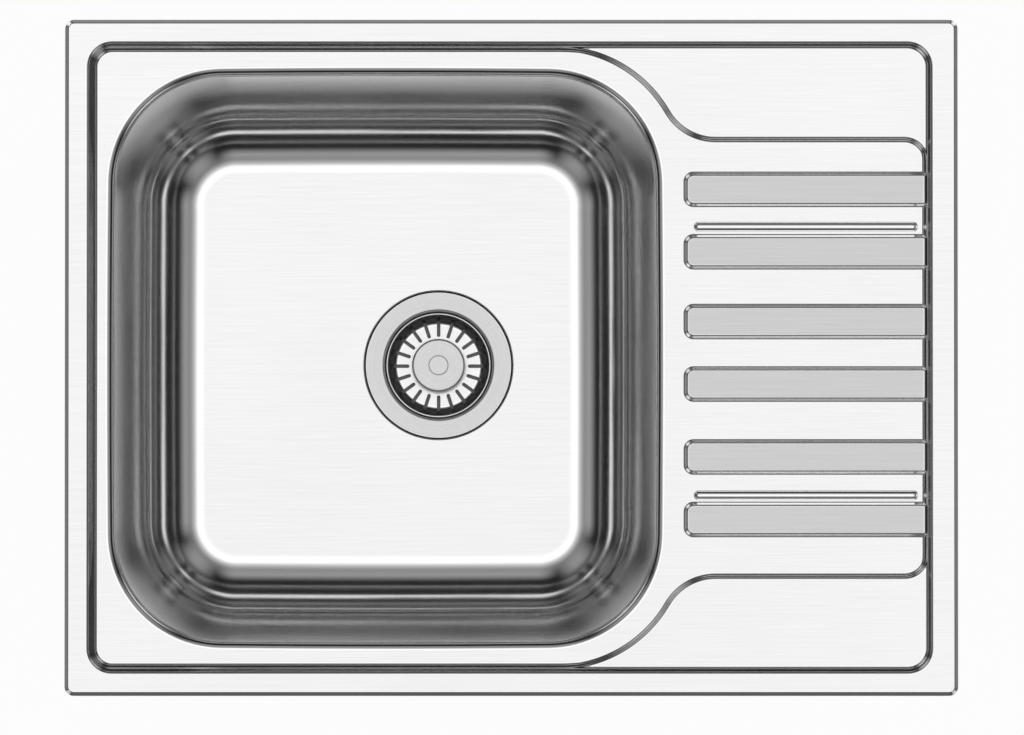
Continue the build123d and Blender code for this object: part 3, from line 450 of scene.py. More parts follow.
def patch(x, y, reach, side=1, width=0.0, centre=0.0):
    """Grid of points about a place, or about a width across there, mirrored or moved across."""
    along, (start, end, spacing) = reach
    across = np.arange(y - width / 2 + start, y + width / 2 + end, spacing)
    return [(a, side * b + centre) for a in np.arange(x + along[0], x + along[1], along[2]) for b in across]


def top_lines(rim, mouth):
    """Points and edges that the top's triangles follow, with patches where two steps meet."""
    points, edges = [], []
    add_loop(points, edges, rim)
    add_loop(points, edges, mouth)
    for s in step_offsets(RIM_TOP - DECK_Z, STEP_ANGLE, STEP_BEND, *RING_BENDS):
        loop, _ = rectangle_loop(RING_X0 + s, RING_X1 - s, RING_Y0 + s, RING_Y1 - s, RING_CORNER - s)
        add_loop(points, edges, loop)
    drop = PLATFORM_Z - DECK_Z
    sides = ((BACK_EDGE, 1), (FRONT_EDGE, -1))
    for s in step_offsets(drop, STEP_ANGLE, STEP_BEND, *SIDE_BENDS):
        e = s - drop / math.tan(STEP_ANGLE)
        for edge_y, side in sides:
            lobe_y, return_x, return_y, lean, right = s_curve(edge_y)
            last_x, last_y = right - DRAIN_CORNER, DRAIN_HALF - DRAIN_CORNER
            line = [(LOBE_X - RUN_ON, edge_y - e)]
            for x, y, radius, start, end, steps in (
                    (LOBE_X, lobe_y, LOBE_RADIUS - e, math.pi / 2, lean, LOBE_STEPS),
                    (return_x, return_y, RETURN_RADIUS + e, math.pi + lean, 1.5 * math.pi, RETURN_STEPS),
                    (last_x, last_y, DRAIN_CORNER - e, math.pi / 2, 0, DRAIN_STEPS)):
                line += arc_points(x, y, radius, start, end, steps)
            line += [(right - e, last_y - RUN_ON)]
            add_loop(points, edges, np.array(line) * (1, side), closed=False)
    for centre in RIB_CENTRES:
        for s in step_offsets(RIB_HEIGHT, RIB_SLOPE, RIB_BEND, *RIB_BENDS):
            e = RIB_RUN - s
            corner, half = RIB_CORNER - e, RIB_WIDTH / 2 - e
            line = [(RING_X1 - RIB_END, half)]
            for y, start in ((half - corner, math.pi / 2), (corner - half, math.pi)):
                line += arc_points(RIB_LEFT + e + corner, y, corner, start, start + math.pi / 2, RIB_STEPS)
            line += [(RING_X1 - RIB_END, -half)]
            add_loop(points, edges, np.array(line) + (0, centre), closed=False)
        points += patch(RING_X1, 0.0, RIB_PATCH, width=RIB_WIDTH, centre=centre)
    for centre in ROD_CENTRES:
        left, right = ROD_LEFT + ROD_WIDTH / 2, ROD_RIGHT - ROD_WIDTH / 2
        for away in ROD_RINGS:
            line = arc_points(left, 0, away, math.pi / 2, 1.5 * math.pi, ROD_STEPS)
            line += arc_points(right, 0, away, -math.pi / 2, math.pi / 2, ROD_STEPS)
            add_loop(points, edges, np.array(line) + (0, centre))
        add_loop(points, edges, [(left, centre), (right, centre)], closed=False)
    right = RING_X1 - STEP_RUN + LOBE_LAP
    for edge_y, side in sides:
        points += patch(LOBE_X, edge_y, LOBE_PATCH, side)
        points += patch(right, DRAIN_HALF, DRAIN_PATCH, side)
    return points, edges


def pressed_top():
    """Rim, deck and drainboard in one pressed sheet with a turned-down edge."""
    rim, rim_out = rectangle_loop(
        -SINK_LENGTH / 2 + RIM_BEVEL, SINK_LENGTH / 2 - RIM_BEVEL,
        -SINK_WIDTH / 2 + RIM_BEVEL, SINK_WIDTH / 2 - RIM_BEVEL, RIM_CORNER - RIM_BEVEL, RIM_STEPS)
    mouth, mouth_out = bowed_loop(*BOWL_MOUTH)
    places, triangles, _ = triangulate(*top_lines(rim, mouth), rim, mouth)
    used, triangles = np.unique(triangles, return_inverse=True)
    x, y = places[used].T
    surface = Surface()
    surface.sheet(
        np.stack([x, y, deck_height(x, y)], -1), deck_normal(x, y), triangles.reshape(-1, 3), SHEET)

    # The hole's edge, which the bowl's flange meets.
    hole_top = at_height(mouth, DECK_Z)
    surface.grid([hole_top, hole_top - SHEET * UP], at_height(-mouth_out, 0.0))

    # The bevelled outer edge and its thin lip.
    outward = at_height(rim_out, 0.0)
    edge = at_height(rim, RIM_TOP - RIM_BEND)
    slope_start = RIM_BEND * math.sin(BEVEL_SLOPE)
    slope_end = RIM_BEVEL - RIM_NOSE + RIM_NOSE * math.sin(BEVEL_SLOPE)
    fall = RIM_BEND * (1 - math.cos(BEVEL_SLOPE)) + (slope_end - slope_start) * math.tan(BEVEL_SLOPE)
    nose = edge + (RIM_BEVEL - RIM_NOSE) * outward
    nose[:, 2] = RIM_TOP - fall - RIM_NOSE * math.cos(BEVEL_SLOPE)
    outer, outer_normals = [], []
    for centre, radius, angles in (
            (edge, RIM_BEND, np.linspace(0, BEVEL_SLOPE, 6)),
            (nose, RIM_NOSE, np.linspace(BEVEL_SLOPE, math.pi / 2, 7))):
        for angle in angles:
            direction = math.sin(angle) * outward + math.cos(angle) * UP
            outer.append(centre + radius * direction)
            outer_normals.append(direction)
    foot = outer[-1].copy()
    foot[:, 2] = LIP_FOOT
    inner = surface.shell(outer + [foot], outer_normals + [outward], flip=True)
    surface.grid([foot, inner[-1]], -UP, flip=True)
    piece = surface.piece("pressed_top")
    mark_rib_tops(piece)
    return piece


# ------------------------------------------------------------------ bowl
BEND_STEPS, WALL_STEPS, FLOOR_STEPS, SEAT_STEPS, SEAT_TURNS = 12, 20, 28, 5, 192
# Bends at the seat's edge and foot, on the sheet's upper and lower faces.
SEAT_EDGE_BENDS, SEAT_FOOT_BENDS = (1.4, 0.8), (0.5, 1.3)


def leaning(out, rise):
    """Unit directions that lean outward in plan, and up by an angle."""
    return np.column_stack([out * np.cos(rise), np.sin(rise)])


def seat_profile(side):
    """Radius, height and normal down the waste's seat, on its upper (0) or lower (1) face."""
    draw = math.atan2(SEAT_TOP - SEAT_FOOT, SEAT_DEPTH)
    turn = math.pi / 2 - draw
    edge_radius = SEAT_TOP + side * SHEET * (1 / math.cos(draw) - math.tan(draw))
    high = FLOOR_Z - side * SHEET
    profile = []
    for radius, height, bend, way in (
            (edge_radius, high, SEAT_EDGE_BENDS[side], 1),
            (edge_radius - SEAT_TOP + SEAT_FOOT, high - SEAT_DEPTH, SEAT_FOOT_BENDS[side], -1)):
        for angle in np.linspace(0, turn, SEAT_STEPS + 1)[::way]:
            profile.append((
                radius + way * bend * (math.tan(turn / 2) - math.sin(angle)),
                height - way * bend * (1 - math.cos(angle)), -math.sin(angle), math.cos(angle)))
    profile.append((WASTE_HOLE, high - SEAT_DEPTH, 0, 1))
    return profile


def pressed_bowl():
    """Deep-drawn bowl: flange, mouth bend, leaning wall, foot bend, and the floor with its seat."""
    mouth, mouth_out = bowed_loop(*BOWL_MOUTH)
    shrink = BOWL_BEND * math.tan((math.pi / 2 - DRAFT_X) / 2)
    depth = DECK_Z - FLOOR_Z
    top, top_out = bowed_loop(BOWL_HALF_X - shrink, BOWL_HALF_Y - shrink, BOWL_BOW, BOWL_CORNER - shrink)
    foot, foot_out = bowed_loop(
        BOWL_HALF_X - shrink - depth * math.tan(DRAFT_X),
        BOWL_HALF_Y - shrink - depth * math.tan(DRAFT_Y), FOOT_BOW, FOOT_CORNER)
    draft = np.arctan2(((top - foot) * foot_out).sum(1), depth)[:, None]
    reach = np.tan((math.pi / 2 - draft) / 2)

    rows, normals = [at_height(mouth, DECK_Z)], [np.tile(UP, (len(mouth), 1))]
    top_centre = at_height(top + BOWL_BEND * reach * top_out, DECK_Z - BOWL_BEND)
    for k in range(BEND_STEPS + 1):
        direction = leaning(-top_out, math.pi / 2 + (draft - math.pi / 2) * k / BEND_STEPS)
        rows.append(top_centre + BOWL_BEND * direction)
        normals.append(direction)
    foot_centre = at_height(foot - FLOOR_BEND * reach * foot_out, FLOOR_Z + FLOOR_BEND)
    foot_normals = [
        leaning(-foot_out, draft + (math.pi / 2 - draft) * k / FLOOR_STEPS) for k in range(FLOOR_STEPS + 1)]
    foot_rows = [foot_centre - FLOOR_BEND * direction for direction in foot_normals]
    wall_top, wall_normal, wall_foot = rows[-1], normals[-1], foot_rows[0]
    for k in range(1, WALL_STEPS):
        t = k / WALL_STEPS
        rows.append(wall_top + (wall_foot - wall_top) * t)
        blend = wall_normal * (1 - t) + foot_normals[0] * t
        normals.append(blend / np.linalg.norm(blend, axis=1, keepdims=True))
    rows += foot_rows
    normals += foot_normals
    surface = Surface()
    lower = surface.shell(rows, normals)
    surface.grid([rows[0], lower[0]], at_height(mouth_out, 0.0), flip=True)

    # The flat floor, from the foot of the bend to the seat round the waste, on both faces.
    turns = np.linspace(0, 2 * math.pi, SEAT_TURNS, endpoint=False)
    ring_out = np.column_stack([np.cos(turns), np.sin(turns)])
    middle = np.array([WASTE_X, WASTE_Y])
    hole = []
    for side, row in enumerate((rows[-1], lower[-1])):
        way = 1 - 2 * side
        profile = seat_profile(side)
        ring = middle + profile[0][0] * ring_out
        points, edges = [], []
        add_loop(points, edges, row[:, :2])
        add_loop(points, edges, ring)
        places, triangles, _ = triangulate(points, edges, row[:, :2], ring)
        surface.add(at_height(places, profile[0][1]), way * UP, triangles[:, ::way])
        seat_rows = [at_height(middle + radius * ring_out, z) for radius, z, _, _ in profile]
        seat_normals = [way * at_height(out * ring_out, up) for _, _, out, up in profile]
        surface.grid(seat_rows, seat_normals, flip=side == 1)
        hole.append(seat_rows[-1])
    surface.grid(hole, at_height(-ring_out, 0.0))
    return surface.piece("pressed_bowl")


# ------------------------------------------------------------------ turned pieces
HOLE_PLAY = 0.001
SLIVER = 1e-6
ON_AXIS = 1e-6
# A bend takes up at most this share of a stretch, and gets a point at least every so often.
BEND_SHARE = 0.49
BEND_STEP = math.radians(8)
STRAIGHT = math.radians(89.9)


def rounded_section(section):
    """Dense points round a closed section, from (radius, height, bend, pierced) corners.

    The corners run clockwise. Each dense point has its place, its normals before and after it,
    and whether the stretch that follows it is left for a pierced sheet.
    """
    out = []
    for i, corner in enumerate(section):
        before, here, after = (np.array(section[(i + k) % len(section)][:2], float) for k in (-1, 0, 1))
        bend = corner[2] if len(corner) > 2 else 0.0
        pierced = len(corner) > 3 and corner[3]
        back, ahead = before - here, after - here
        length_back, length_ahead = np.linalg.norm(back), np.linalg.norm(ahead)
        back, ahead = back / length_back, ahead / length_ahead
        normal_back = np.array([back[1], -back[0]])
        normal_ahead = np.array([-ahead[1], ahead[0]])
        half = math.acos(float(np.clip(back @ ahead, -1, 1))) / 2
        if bend <= 0 or half > STRAIGHT:
            out.append((here, normal_back, normal_ahead, pierced))
            continue
        reach = min(bend / math.tan(half), BEND_SHARE * min(length_back, length_ahead))
        radius = reach * math.tan(half)
        start, end = here + back * reach, here + ahead * reach
        centre = here + (back + ahead) / np.linalg.norm(back + ahead) * radius / math.sin(half)
        turn = math.pi - 2 * half
        steps = max(3, int(math.ceil(turn / BEND_STEP)))
        first, last = (start - centre) / radius, (end - centre) / radius
        side = 1.0 if first @ normal_back > 0 else -1.0
        for k in range(steps + 1):
            t = k / steps
            radial = (math.sin((1 - t) * turn) * first + math.sin(t * turn) * last) / math.sin(turn)
            out.append((centre + radius * radial, side * radial, side * radial, pierced))
    return out


def strip_section(path, thickness, bends):
    """Closed section of a bent sheet under a path that runs inward, with inside bends.

    A path point is (radius, height) or (radius, height, pierced). Its mark holds up to the next
    point further out.
    """
    points = [np.array(p[:2], float) for p in path]
    marks = [len(p) > 2 and p[2] for p in path]
    upper, lower = [], []
    for i, point in enumerate(points):
        normals = []
        for a, b in ((i - 1, i), (i, i + 1)):
            if a >= 0 and b < len(points):
                along = (points[b] - points[a]) / np.linalg.norm(points[b] - points[a])
                normals.append(np.array([-along[1], along[0]]))
        first, last = normals[0], normals[-1]
        moved = point + thickness * (first + last) / (1 + first @ last)
        bend = bends.get(i, 0.0)
        turn = first[0] * last[1] - first[1] * last[0]
        wide, tight = (bend + thickness, bend) if turn > 0 else (bend, bend + thickness)
        if bend == 0:
            wide = tight = 0.0
        upper.append((*point, wide, marks[i]))
        lower.append((*moved, tight, i > 0 and marks[i]))
    # Going back inward, a stretch is pierced where its outer end's next point is marked.
    inward = [(*lower[i][:3], i + 1 < len(lower) and marks[i + 1]) for i in range(len(lower))]
    return upper[::-1] + inward


def section_rows(item, which, turns, centre):
    """Ring through a section's point, with its normals before (1) or after (2) that point."""
    ring = np.column_stack([np.cos(turns), np.sin(turns)])
    (radius, height), (out, up) = item[0], item[which]
    return at_height(np.array(centre) + radius * ring, FLOOR_Z + height), at_height(out * ring, up)


def turned(name, section, steps=144):
    """Closed solid turned about the waste's axis, from a section that runs clockwise."""
    dense = rounded_section(section)
    turns = np.linspace(0, 2 * math.pi, steps, endpoint=False)
    surface = Surface()
    for first, second in zip(dense, dense[1:] + dense[:1]):
        if max(first[0][0], second[0][0]) > ON_AXIS:
            start, out = section_rows(first, 2, turns, (WASTE_X, WASTE_Y))
            end, out_end = section_rows(second, 1, turns, (WASTE_X, WASTE_Y))
            surface.grid([start, end], [out, out_end], flip=True)
    return surface.piece(name)


def pierced_sector(name, section, count, hole, thickness, steps):
    """One of a number of equal sectors of a turned sheet, about the origin, with a hole through it."""
    dense = rounded_section(section)
    turns = np.linspace(-math.pi / count, math.pi / count, steps + 1)
    surface = Surface()
    profile = []
    for first, second in zip(dense, dense[1:] + dense[:1]):
        if not first[3]:
            start, out = section_rows(first, 2, turns, (0, 0))
            end, out_end = section_rows(second, 1, turns, (0, 0))
            surface.grid([start, end], [out, out_end], closed=False, flip=True)
        elif second[0][0] > first[0][0]:
            profile += [first, second]
    _, first_of = np.unique(np.round([item[0][0] for item in profile], 6), return_index=True)
    radii, levels = np.array([profile[i][0] for i in first_of]).T
    slopes = np.array([profile[i][1] for i in first_of]).T
    arcs = [np.column_stack([radius * np.cos(turns), radius * np.sin(turns)]) for radius in radii]
    points, edges = [], []
    for arc in arcs:
        add_loop(points, edges, arc, closed=False)
    for k in range(len(radii) - 1):
        for corner in (0, steps):
            edges.append((k * (steps + 1) + corner, (k + 1) * (steps + 1) + corner))
    add_loop(points, edges, hole)
    outline = np.concatenate([arcs[0], arcs[-1][::-1]])
    places, triangles, area = triangulate(points, edges, outline, hole)
    # Points along the sector's straight sides leave slivers outside them.
    triangles = triangles[area > SLIVER]
    radius = np.hypot(*places.T)
    normal_r, normal_z = (np.interp(radius, radii, slope) for slope in slopes)
    normals = np.column_stack([places / radius[:, None] * normal_r[:, None], normal_z])
    normals /= np.linalg.norm(normals, axis=1, keepdims=True)
    upper = np.column_stack([places, FLOOR_Z + np.interp(radius, radii, levels)])
    lower = surface.sheet(upper, normals, triangles, thickness)

    # Walls of the hole, on every edge of the sheet there, also where a ring of the bend meets it.
    left, right, end_radius = hole[:, 0].min(), hole[:, 0].max(), hole[:, 1].max()
    middle = np.zeros_like(places)
    middle[:, 0] = np.clip(places[:, 0], left + end_radius, right - end_radius)
    outward = places - middle
    distance = np.hypot(*outward.T)
    on_hole = distance < end_radius + HOLE_PLAY
    inward = at_height(-outward / np.maximum(distance, HOLE_PLAY)[:, None], 0.0)
    sides = {tuple(side) for k in range(3) for side in triangles[:, [k, (k + 1) % 3]].tolist()}
    for a, b in sorted(sides):
        if (b, a) not in sides and on_hole[a] and on_hole[b]:
            surface.add(
                np.array([upper[b], upper[a], lower[a], lower[b]]), inward[[b, a, a, b]],
                np.array([(0, 1, 2), (0, 2, 3)]))
    return surface.piece(name)


def slot_outline(inner, outer, width, steps=10):
    """Round-ended slot along X."""
    radius = width / 2
    points = []
    for x, start in ((outer - radius, -math.pi / 2), (inner + radius, math.pi / 2)):
        for angle in np.linspace(start, start + math.pi, steps + 1):
            points.append((x + radius * math.cos(angle), radius * math.sin(angle)))
    return np.array(points)


# ------------------------------------------------------------------ repeated parts
def geometry_tree(name, inputs):
    """Geometry Nodes tree with named inputs. Gives the tree, its input node and its sockets' names."""
    tree = bpy.data.node_groups.new(name, "GeometryNodeTree")
    tree.is_modifier = True
    ids = {}
    for label, kind in inputs:
        socket = tree.interface.new_socket(label, in_out="INPUT", socket_type="NodeSocket" + kind)
        ids[label] = socket.identifier
    tree.interface.new_socket("Piece", in_out="OUTPUT", socket_type="NodeSocketGeometry")
    return tree, tree.nodes.new("NodeGroupInput").outputs, ids


def add_node(tree, kind, inputs=(), **settings):
    """New node with its settings, and its inputs set to values or linked from other sockets."""
    node = tree.nodes.new(kind)
    for key, value in settings.items():
        setattr(node, key, value)
    for key, value in dict(inputs).items():
        if isinstance(value, bpy.types.NodeSocket):
            tree.links.new(value, node.inputs[key])
        else:
            node.inputs[key].default_value = value
    return node


def maths(tree, operation, first, second, kind="Math"):
    """Result of a sum on two numbers, or on two vectors for the kind VectorMath."""
    return add_node(tree, "ShaderNode" + kind, {0: first, 1: second}, operation=operation).outputs[0]


def finish_tree(tree, geometry, material):
    """Ends a tree in Realize Instances and Set Material."""
    whole = add_node(tree, "GeometryNodeRealizeInstances", {"Geometry": geometry})
    dressed = add_node(tree, "GeometryNodeSetMaterial", {
        "Geometry": whole.outputs["Geometry"], "Material": material})
    add_node(tree, "NodeGroupOutput", {"Piece": dressed.outputs["Geometry"]})


def made_plain(name, source, tree, ids, values):
    """Runs a tree on an object and keeps its result as a plain mesh object."""
    modifier = source.modifiers.new(tree.name, "NODES")
    modifier.node_group = tree
    for label, value in values.items():
        modifier[ids[label]] = value
    evaluated = source.evaluated_get(bpy.context.evaluated_depsgraph_get())
    mesh = bpy.data.meshes.new_from_object(evaluated)
    mesh.name = name
    source.modifiers.remove(modifier)
    bpy.data.objects.remove(source)
    mesh.shade_smooth()
    mesh.set_sharp_from_angle(angle=SHARP)
    return placed(name, mesh)


def round_the_axis():
    """Tree that sets equal sectors in a circle and moves the whole to its axis."""
    tree, given, ids = geometry_tree("round_the_axis", (
        ("Sector", "Geometry"), ("Copies", "Int"), ("Axis", "Vector"), ("Weld", "Float"),
        ("Finish", "Material")))
    spots = add_node(tree, "GeometryNodePoints", {"Count": given["Copies"]})
    index = add_node(tree, "GeometryNodeInputIndex").outputs[0]
    turn = maths(tree, "MULTIPLY", index, maths(tree, "DIVIDE", math.tau, given["Copies"]))
    angles = add_node(tree, "ShaderNodeCombineXYZ", {"Z": turn})
    copies = add_node(tree, "GeometryNodeInstanceOnPoints", {
        "Points": spots.outputs[0], "Instance": given["Sector"], "Rotation": angles.outputs[0]})
    joined = add_node(tree, "GeometryNodeRealizeInstances", {"Geometry": copies.outputs["Instances"]})
    welded = add_node(tree, "GeometryNodeMergeByDistance", {
        "Geometry": joined.outputs["Geometry"], "Distance": given["Weld"]})
    moved = add_node(tree, "GeometryNodeTransform", {
        "Geometry": welded.outputs["Geometry"], "Translation": given["Axis"]})
    finish_tree(tree, moved.outputs["Geometry"], given["Finish"])
    return tree, ids


def screw_ridge():
    """Tree that winds a six-sided thread ridge round the axis at each given point."""
    tree, given, ids = geometry_tree("screw_ridge", (
        ("Places", "Geometry"), ("Turns", "Float"), ("Steps", "Int"), ("Radius", "Float"),
        ("Length", "Float"), ("Ridge", "Float"), ("Finish", "Material")))
    helix = add_node(tree, "GeometryNodeCurveSpiral", {
        "Resolution": given["Steps"], "Rotations": given["Turns"], "Start Radius": given["Radius"],
        "End Radius": given["Radius"], "Height": given["Length"]})
    profile = add_node(tree, "GeometryNodeCurvePrimitiveCircle", {"Resolution": 6, "Radius": given["Ridge"]})
    ridge = add_node(tree, "GeometryNodeCurveToMesh", {
        "Curve": helix.outputs["Curve"], "Profile Curve": profile.outputs["Curve"], "Fill Caps": True})
    copies = add_node(tree, "GeometryNodeInstanceOnPoints", {
        "Points": given["Places"], "Instance": ridge.outputs["Mesh"]})
    finish_tree(tree, copies.outputs["Instances"], given["Finish"])
    return tree, ids
    return tree, ids


# ------------------------------------------------------------------ waste pieces
def around_waste(name, sector, copies, finish):
    """Whole piece from one sector, set in a circle about the waste's axis."""
    return made_plain(name, sector, *round_tree, {
        "Copies": copies, "Axis": AXIS_PLACE, "Weld": WELD, "Finish": finish})


def drain_cup(finish):
    """Flange and cup in one pressing, with drain holes round a well."""
    radius = DRAIN_HOLE_RADIUS
    hole = slot_outline(DRAIN_HOLE_CIRCLE - radius, DRAIN_HOLE_CIRCLE + radius, 2 * radius, 12)
    pierced_from, pierced_to = 11.6, 24.0
    path = [
        (FLANGE_RADIUS, FLANGE_TOP), (CUP_RADIUS, FLANGE_TOP), (CUP_FOOT_RADIUS, CUP_FLOOR),
        (pierced_to, CUP_FLOOR), (pierced_from, CUP_FLOOR, True), (WELL_RADIUS, CUP_FLOOR),
        (WELL_RADIUS, WELL_FLOOR), (WELL_HOLE, WELL_FLOOR),
    ]
    bends = {1: CUP_MOUTH_BEND, 2: CUP_FOOT_BEND, 5: WELL_BEND, 6: WELL_BEND}
    section = strip_section(path, FLANGE_SHEET, bends)
    sector = pierced_sector("cup_sector", section, DRAIN_HOLES, hole, FLANGE_SHEET, 18)
    return around_waste("drain_cup", sector, DRAIN_HOLES, finish)


def slotted_basket(finish):
    """Deep-drawn basket: slots run out over its floor and up its round foot, under a rolled rim."""
    hole = slot_outline(SLOT_INNER, SLOT_OUTER, SLOT_WIDTH)
    lean = (BASKET_RADIUS - BASKET_FOOT_RADIUS) / (BASKET_RIM - BASKET_FLOOR)
    over_bend, pierced_from = 15.0, 20.6
    path = [
        (BASKET_RADIUS, BASKET_RIM), (BASKET_FOOT_RADIUS + lean * over_bend, BASKET_FLOOR + over_bend),
        (BASKET_FOOT_RADIUS, BASKET_FLOOR, True), (pierced_from, BASKET_FLOOR, True),
        (STEM_WAY, BASKET_FLOOR),
    ]
    section = strip_section(path, BASKET_SHEET, {2: BASKET_FOOT_BEND})
    # The rolled rim takes the place of the sheet's plain upper end.
    bead = np.array([BASKET_RADIUS + BASKET_SHEET / 2, BASKET_RIM])
    inner_end = len(path) - 1
    outline = section[:inner_end]
    for angle in np.radians(np.arange(215.0, -35.1, -12.5)):
        outline.append((*(bead + BASKET_BEAD * np.array([math.cos(angle), math.sin(angle)])), 0.0))
    outline += section[inner_end + 2:]
    sector = pierced_sector("basket_sector", outline, BASKET_SLOTS, hole, BASKET_SHEET, 9)
    return around_waste("slotted_basket", sector, BASKET_SLOTS, finish)


def mushroom_knob():
    edge = KNOB_RADIUS - KNOB_FACE_RADIUS
    cap_way = CAP_RADIUS + CAP_GAP
    return turned("mushroom_knob", [
        (cap_way, KNOB_TOP, 0.3), (KNOB_FACE_RADIUS, KNOB_TOP, 0.4), (KNOB_RADIUS, KNOB_TOP - edge, 0.5),
        (KNOB_RADIUS, KNOB_TOP - 2 * edge, 0.4), (KNOB_FACE_RADIUS, KNOB_TOP - KNOB_DISC, 0.8),
        (KNOB_NECK, KNOB_TOP - 2 * KNOB_DISC, 2.5), (KNOB_NECK, BASKET_FLOOR + KNOB_DISC, 3.0),
        (KNOB_NECK_FOOT, BASKET_FLOOR), (STEM_WAY, BASKET_FLOOR), (STEM_WAY, STEM_SEAT),
        (STEM_HEAD_WAY, STEM_SEAT), (STEM_HEAD_WAY, CAP_SEAT), (cap_way, CAP_SEAT),
    ])


def centre_cap():
    return turned("centre_cap", [
        (0.0, KNOB_TOP), (CAP_RADIUS, KNOB_TOP, 0.35), (CAP_RADIUS, CAP_SEAT, 0.1), (0.0, CAP_SEAT)])


def wound_thread(name, places, radius, foot, length, pitch, ridge, steps_a_turn, finish):
    """Thread ridge wound at each of some places, from its foot upwards."""
    mesh = bpy.data.meshes.new(name + "_places")
    mesh.from_pydata([(x * MM, y * MM, foot * MM) for x, y in places], [], [])
    return made_plain(name, placed(name + "_places", mesh), *ridge_tree, {
        "Turns": length / pitch, "Steps": steps_a_turn, "Radius": radius * MM,
        "Length": length * MM, "Ridge": ridge * MM, "Finish": finish})


# ------------------------------------------------------------------ finishes
def shader_group(name, inputs, outputs):
    """Shader node group with named inputs and outputs. Gives it and its input node."""
    group = bpy.data.node_groups.new(name, "ShaderNodeTree")
    for way, sockets in (("INPUT", inputs), ("OUTPUT", outputs)):
        for label, kind in sockets:
            group.interface.new_socket(label, in_out=way, socket_type="NodeSocket" + kind)
    return group, group.nodes.new("NodeGroupInput").outputs


def noise(group, scale, detail, roughness, **place):
    """Tone of a noise texture at a place, or along one dimension where W is given."""
    settings = {"noise_dimensions": "1D"} if "W" in place else {}
    return add_node(group, "ShaderNodeTexNoise", {
        **place, "Scale": scale, "Detail": detail, "Roughness": roughness}, **settings).outputs["Fac"]


def bumped(group, depth, height):
    """Normal bumped by a tone."""
    return add_node(group, "ShaderNodeBump", {
        "Strength": 1.0, "Distance": depth, "Height": height}).outputs["Normal"]


def brush_marks():
    """Long streaks that brushing leaves along X: a tone, a slow tone and a bumped normal."""
    group, given = shader_group(
        "brush_marks",
        (("Place", "Vector"), ("Length", "Float"), ("Pitch", "Float"), ("Depth", "Float")),
        (("Streak", "Float"), ("Cloud", "Float"), ("Normal", "Vector")))
    along, across = (maths(group, "DIVIDE", 1.0, given[label]) for label in ("Length", "Pitch"))
    scale = add_node(group, "ShaderNodeCombineXYZ", {"X": along, "Y": across, "Z": across}).outputs[0]
    place = maths(group, "MULTIPLY", given["Place"], scale, "VectorMath")
    streak = noise(group, 1.0, 3.0, 0.6, Vector=place)
    add_node(group, "NodeGroupOutput", {
        "Streak": streak, "Cloud": noise(group, 9.0, 2.0, 0.5, Vector=given["Place"]),
        "Normal": bumped(group, given["Depth"], streak)})
    return group


def turning_marks():
    """Fine rings that a lathe leaves round an axis: a tone and a bumped normal."""
    group, given = shader_group(
        "turning_marks",
        (("Place", "Vector"), ("Axis", "Vector"), ("Pitch", "Float"), ("Depth", "Float")),
        (("Ring", "Float"), ("Normal", "Vector")))
    moved = maths(group, "SUBTRACT", given["Place"], given["Axis"], "VectorMath")
    flat = maths(group, "MULTIPLY", moved, (1, 1, 0), "VectorMath")
    radius = add_node(group, "ShaderNodeVectorMath", {0: flat}, operation="LENGTH").outputs["Value"]
    ring = noise(group, 1.0, 3.0, 0.65, W=maths(group, "DIVIDE", radius, given["Pitch"]))
    add_node(group, "NodeGroupOutput", {"Ring": ring, "Normal": bumped(group, given["Depth"], ring)})
    return group


def fine_grain():
    """Cloudy tone, small cells and a bumped normal, for plated, moulded and rubbery faces."""
    group, given = shader_group(
        "fine_grain",
        (("Place", "Vector"), ("Cells", "Float"), ("Clouds", "Float"), ("Depth", "Float")),
        (("Cell", "Float"), ("Cloud", "Float"), ("Normal", "Vector")))
    cells = add_node(group, "ShaderNodeTexVoronoi", {
        "Vector": given["Place"], "Scale": given["Cells"]}).outputs["Distance"]
    add_node(group, "NodeGroupOutput", {
        "Cell": cells, "Cloud": noise(group, given["Clouds"], 4.0, 0.55, Vector=given["Place"]),
        "Normal": bumped(group, given["Depth"], cells)})
    return group


def between(tree, share, low=0.0, high=1.0):
    """Value that runs from low to high as the share runs from 0.3 to 0.7."""
    return add_node(tree, "ShaderNodeMapRange", {
        "Value": share, "From Min": 0.3, "From Max": 0.7, "To Min": low, "To Max": high}).outputs["Result"]


def mixed(tree, share, first, second):
    """Colour between two, each a grey level, a colour or a socket."""
    node = add_node(tree, "ShaderNodeMix", {"Factor": share}, data_type="RGBA")
    for socket, colour in ((node.inputs[6], first), (node.inputs[7], second)):
        if isinstance(colour, bpy.types.NodeSocket):
            tree.links.new(colour, socket)
        else:
            socket.default_value = (colour, colour, colour, 1) if isinstance(colour, float) else (*colour, 1)
    return node.outputs[2]


def new_finish(name, metallic, roughness, group, **values):
    """New material, with a group of marks on it. Gives it, its tree, its shader and the marks."""
    material = bpy.data.materials.new(name)
    material.use_nodes = True
    tree = material.node_tree
    shader = tree.nodes["Principled BSDF"]
    shader.inputs["Metallic"].default_value = metallic
    shader.inputs["Roughness"].default_value = roughness
    place = add_node(tree, "ShaderNodeTexCoord").outputs["Object"]
    marks = add_node(tree, "ShaderNodeGroup", {"Place": place, **values}, node_tree=group).outputs
    tree.links.new(marks["Normal"], shader.inputs["Normal"])
    return material, tree, shader, marks


def coloured(tree, shader, colour, roughness):
    """Links a finish's colour and roughness to its shader."""
    tree.links.new(colour, shader.inputs["Base Color"])
    tree.links.new(roughness, shader.inputs["Roughness"])


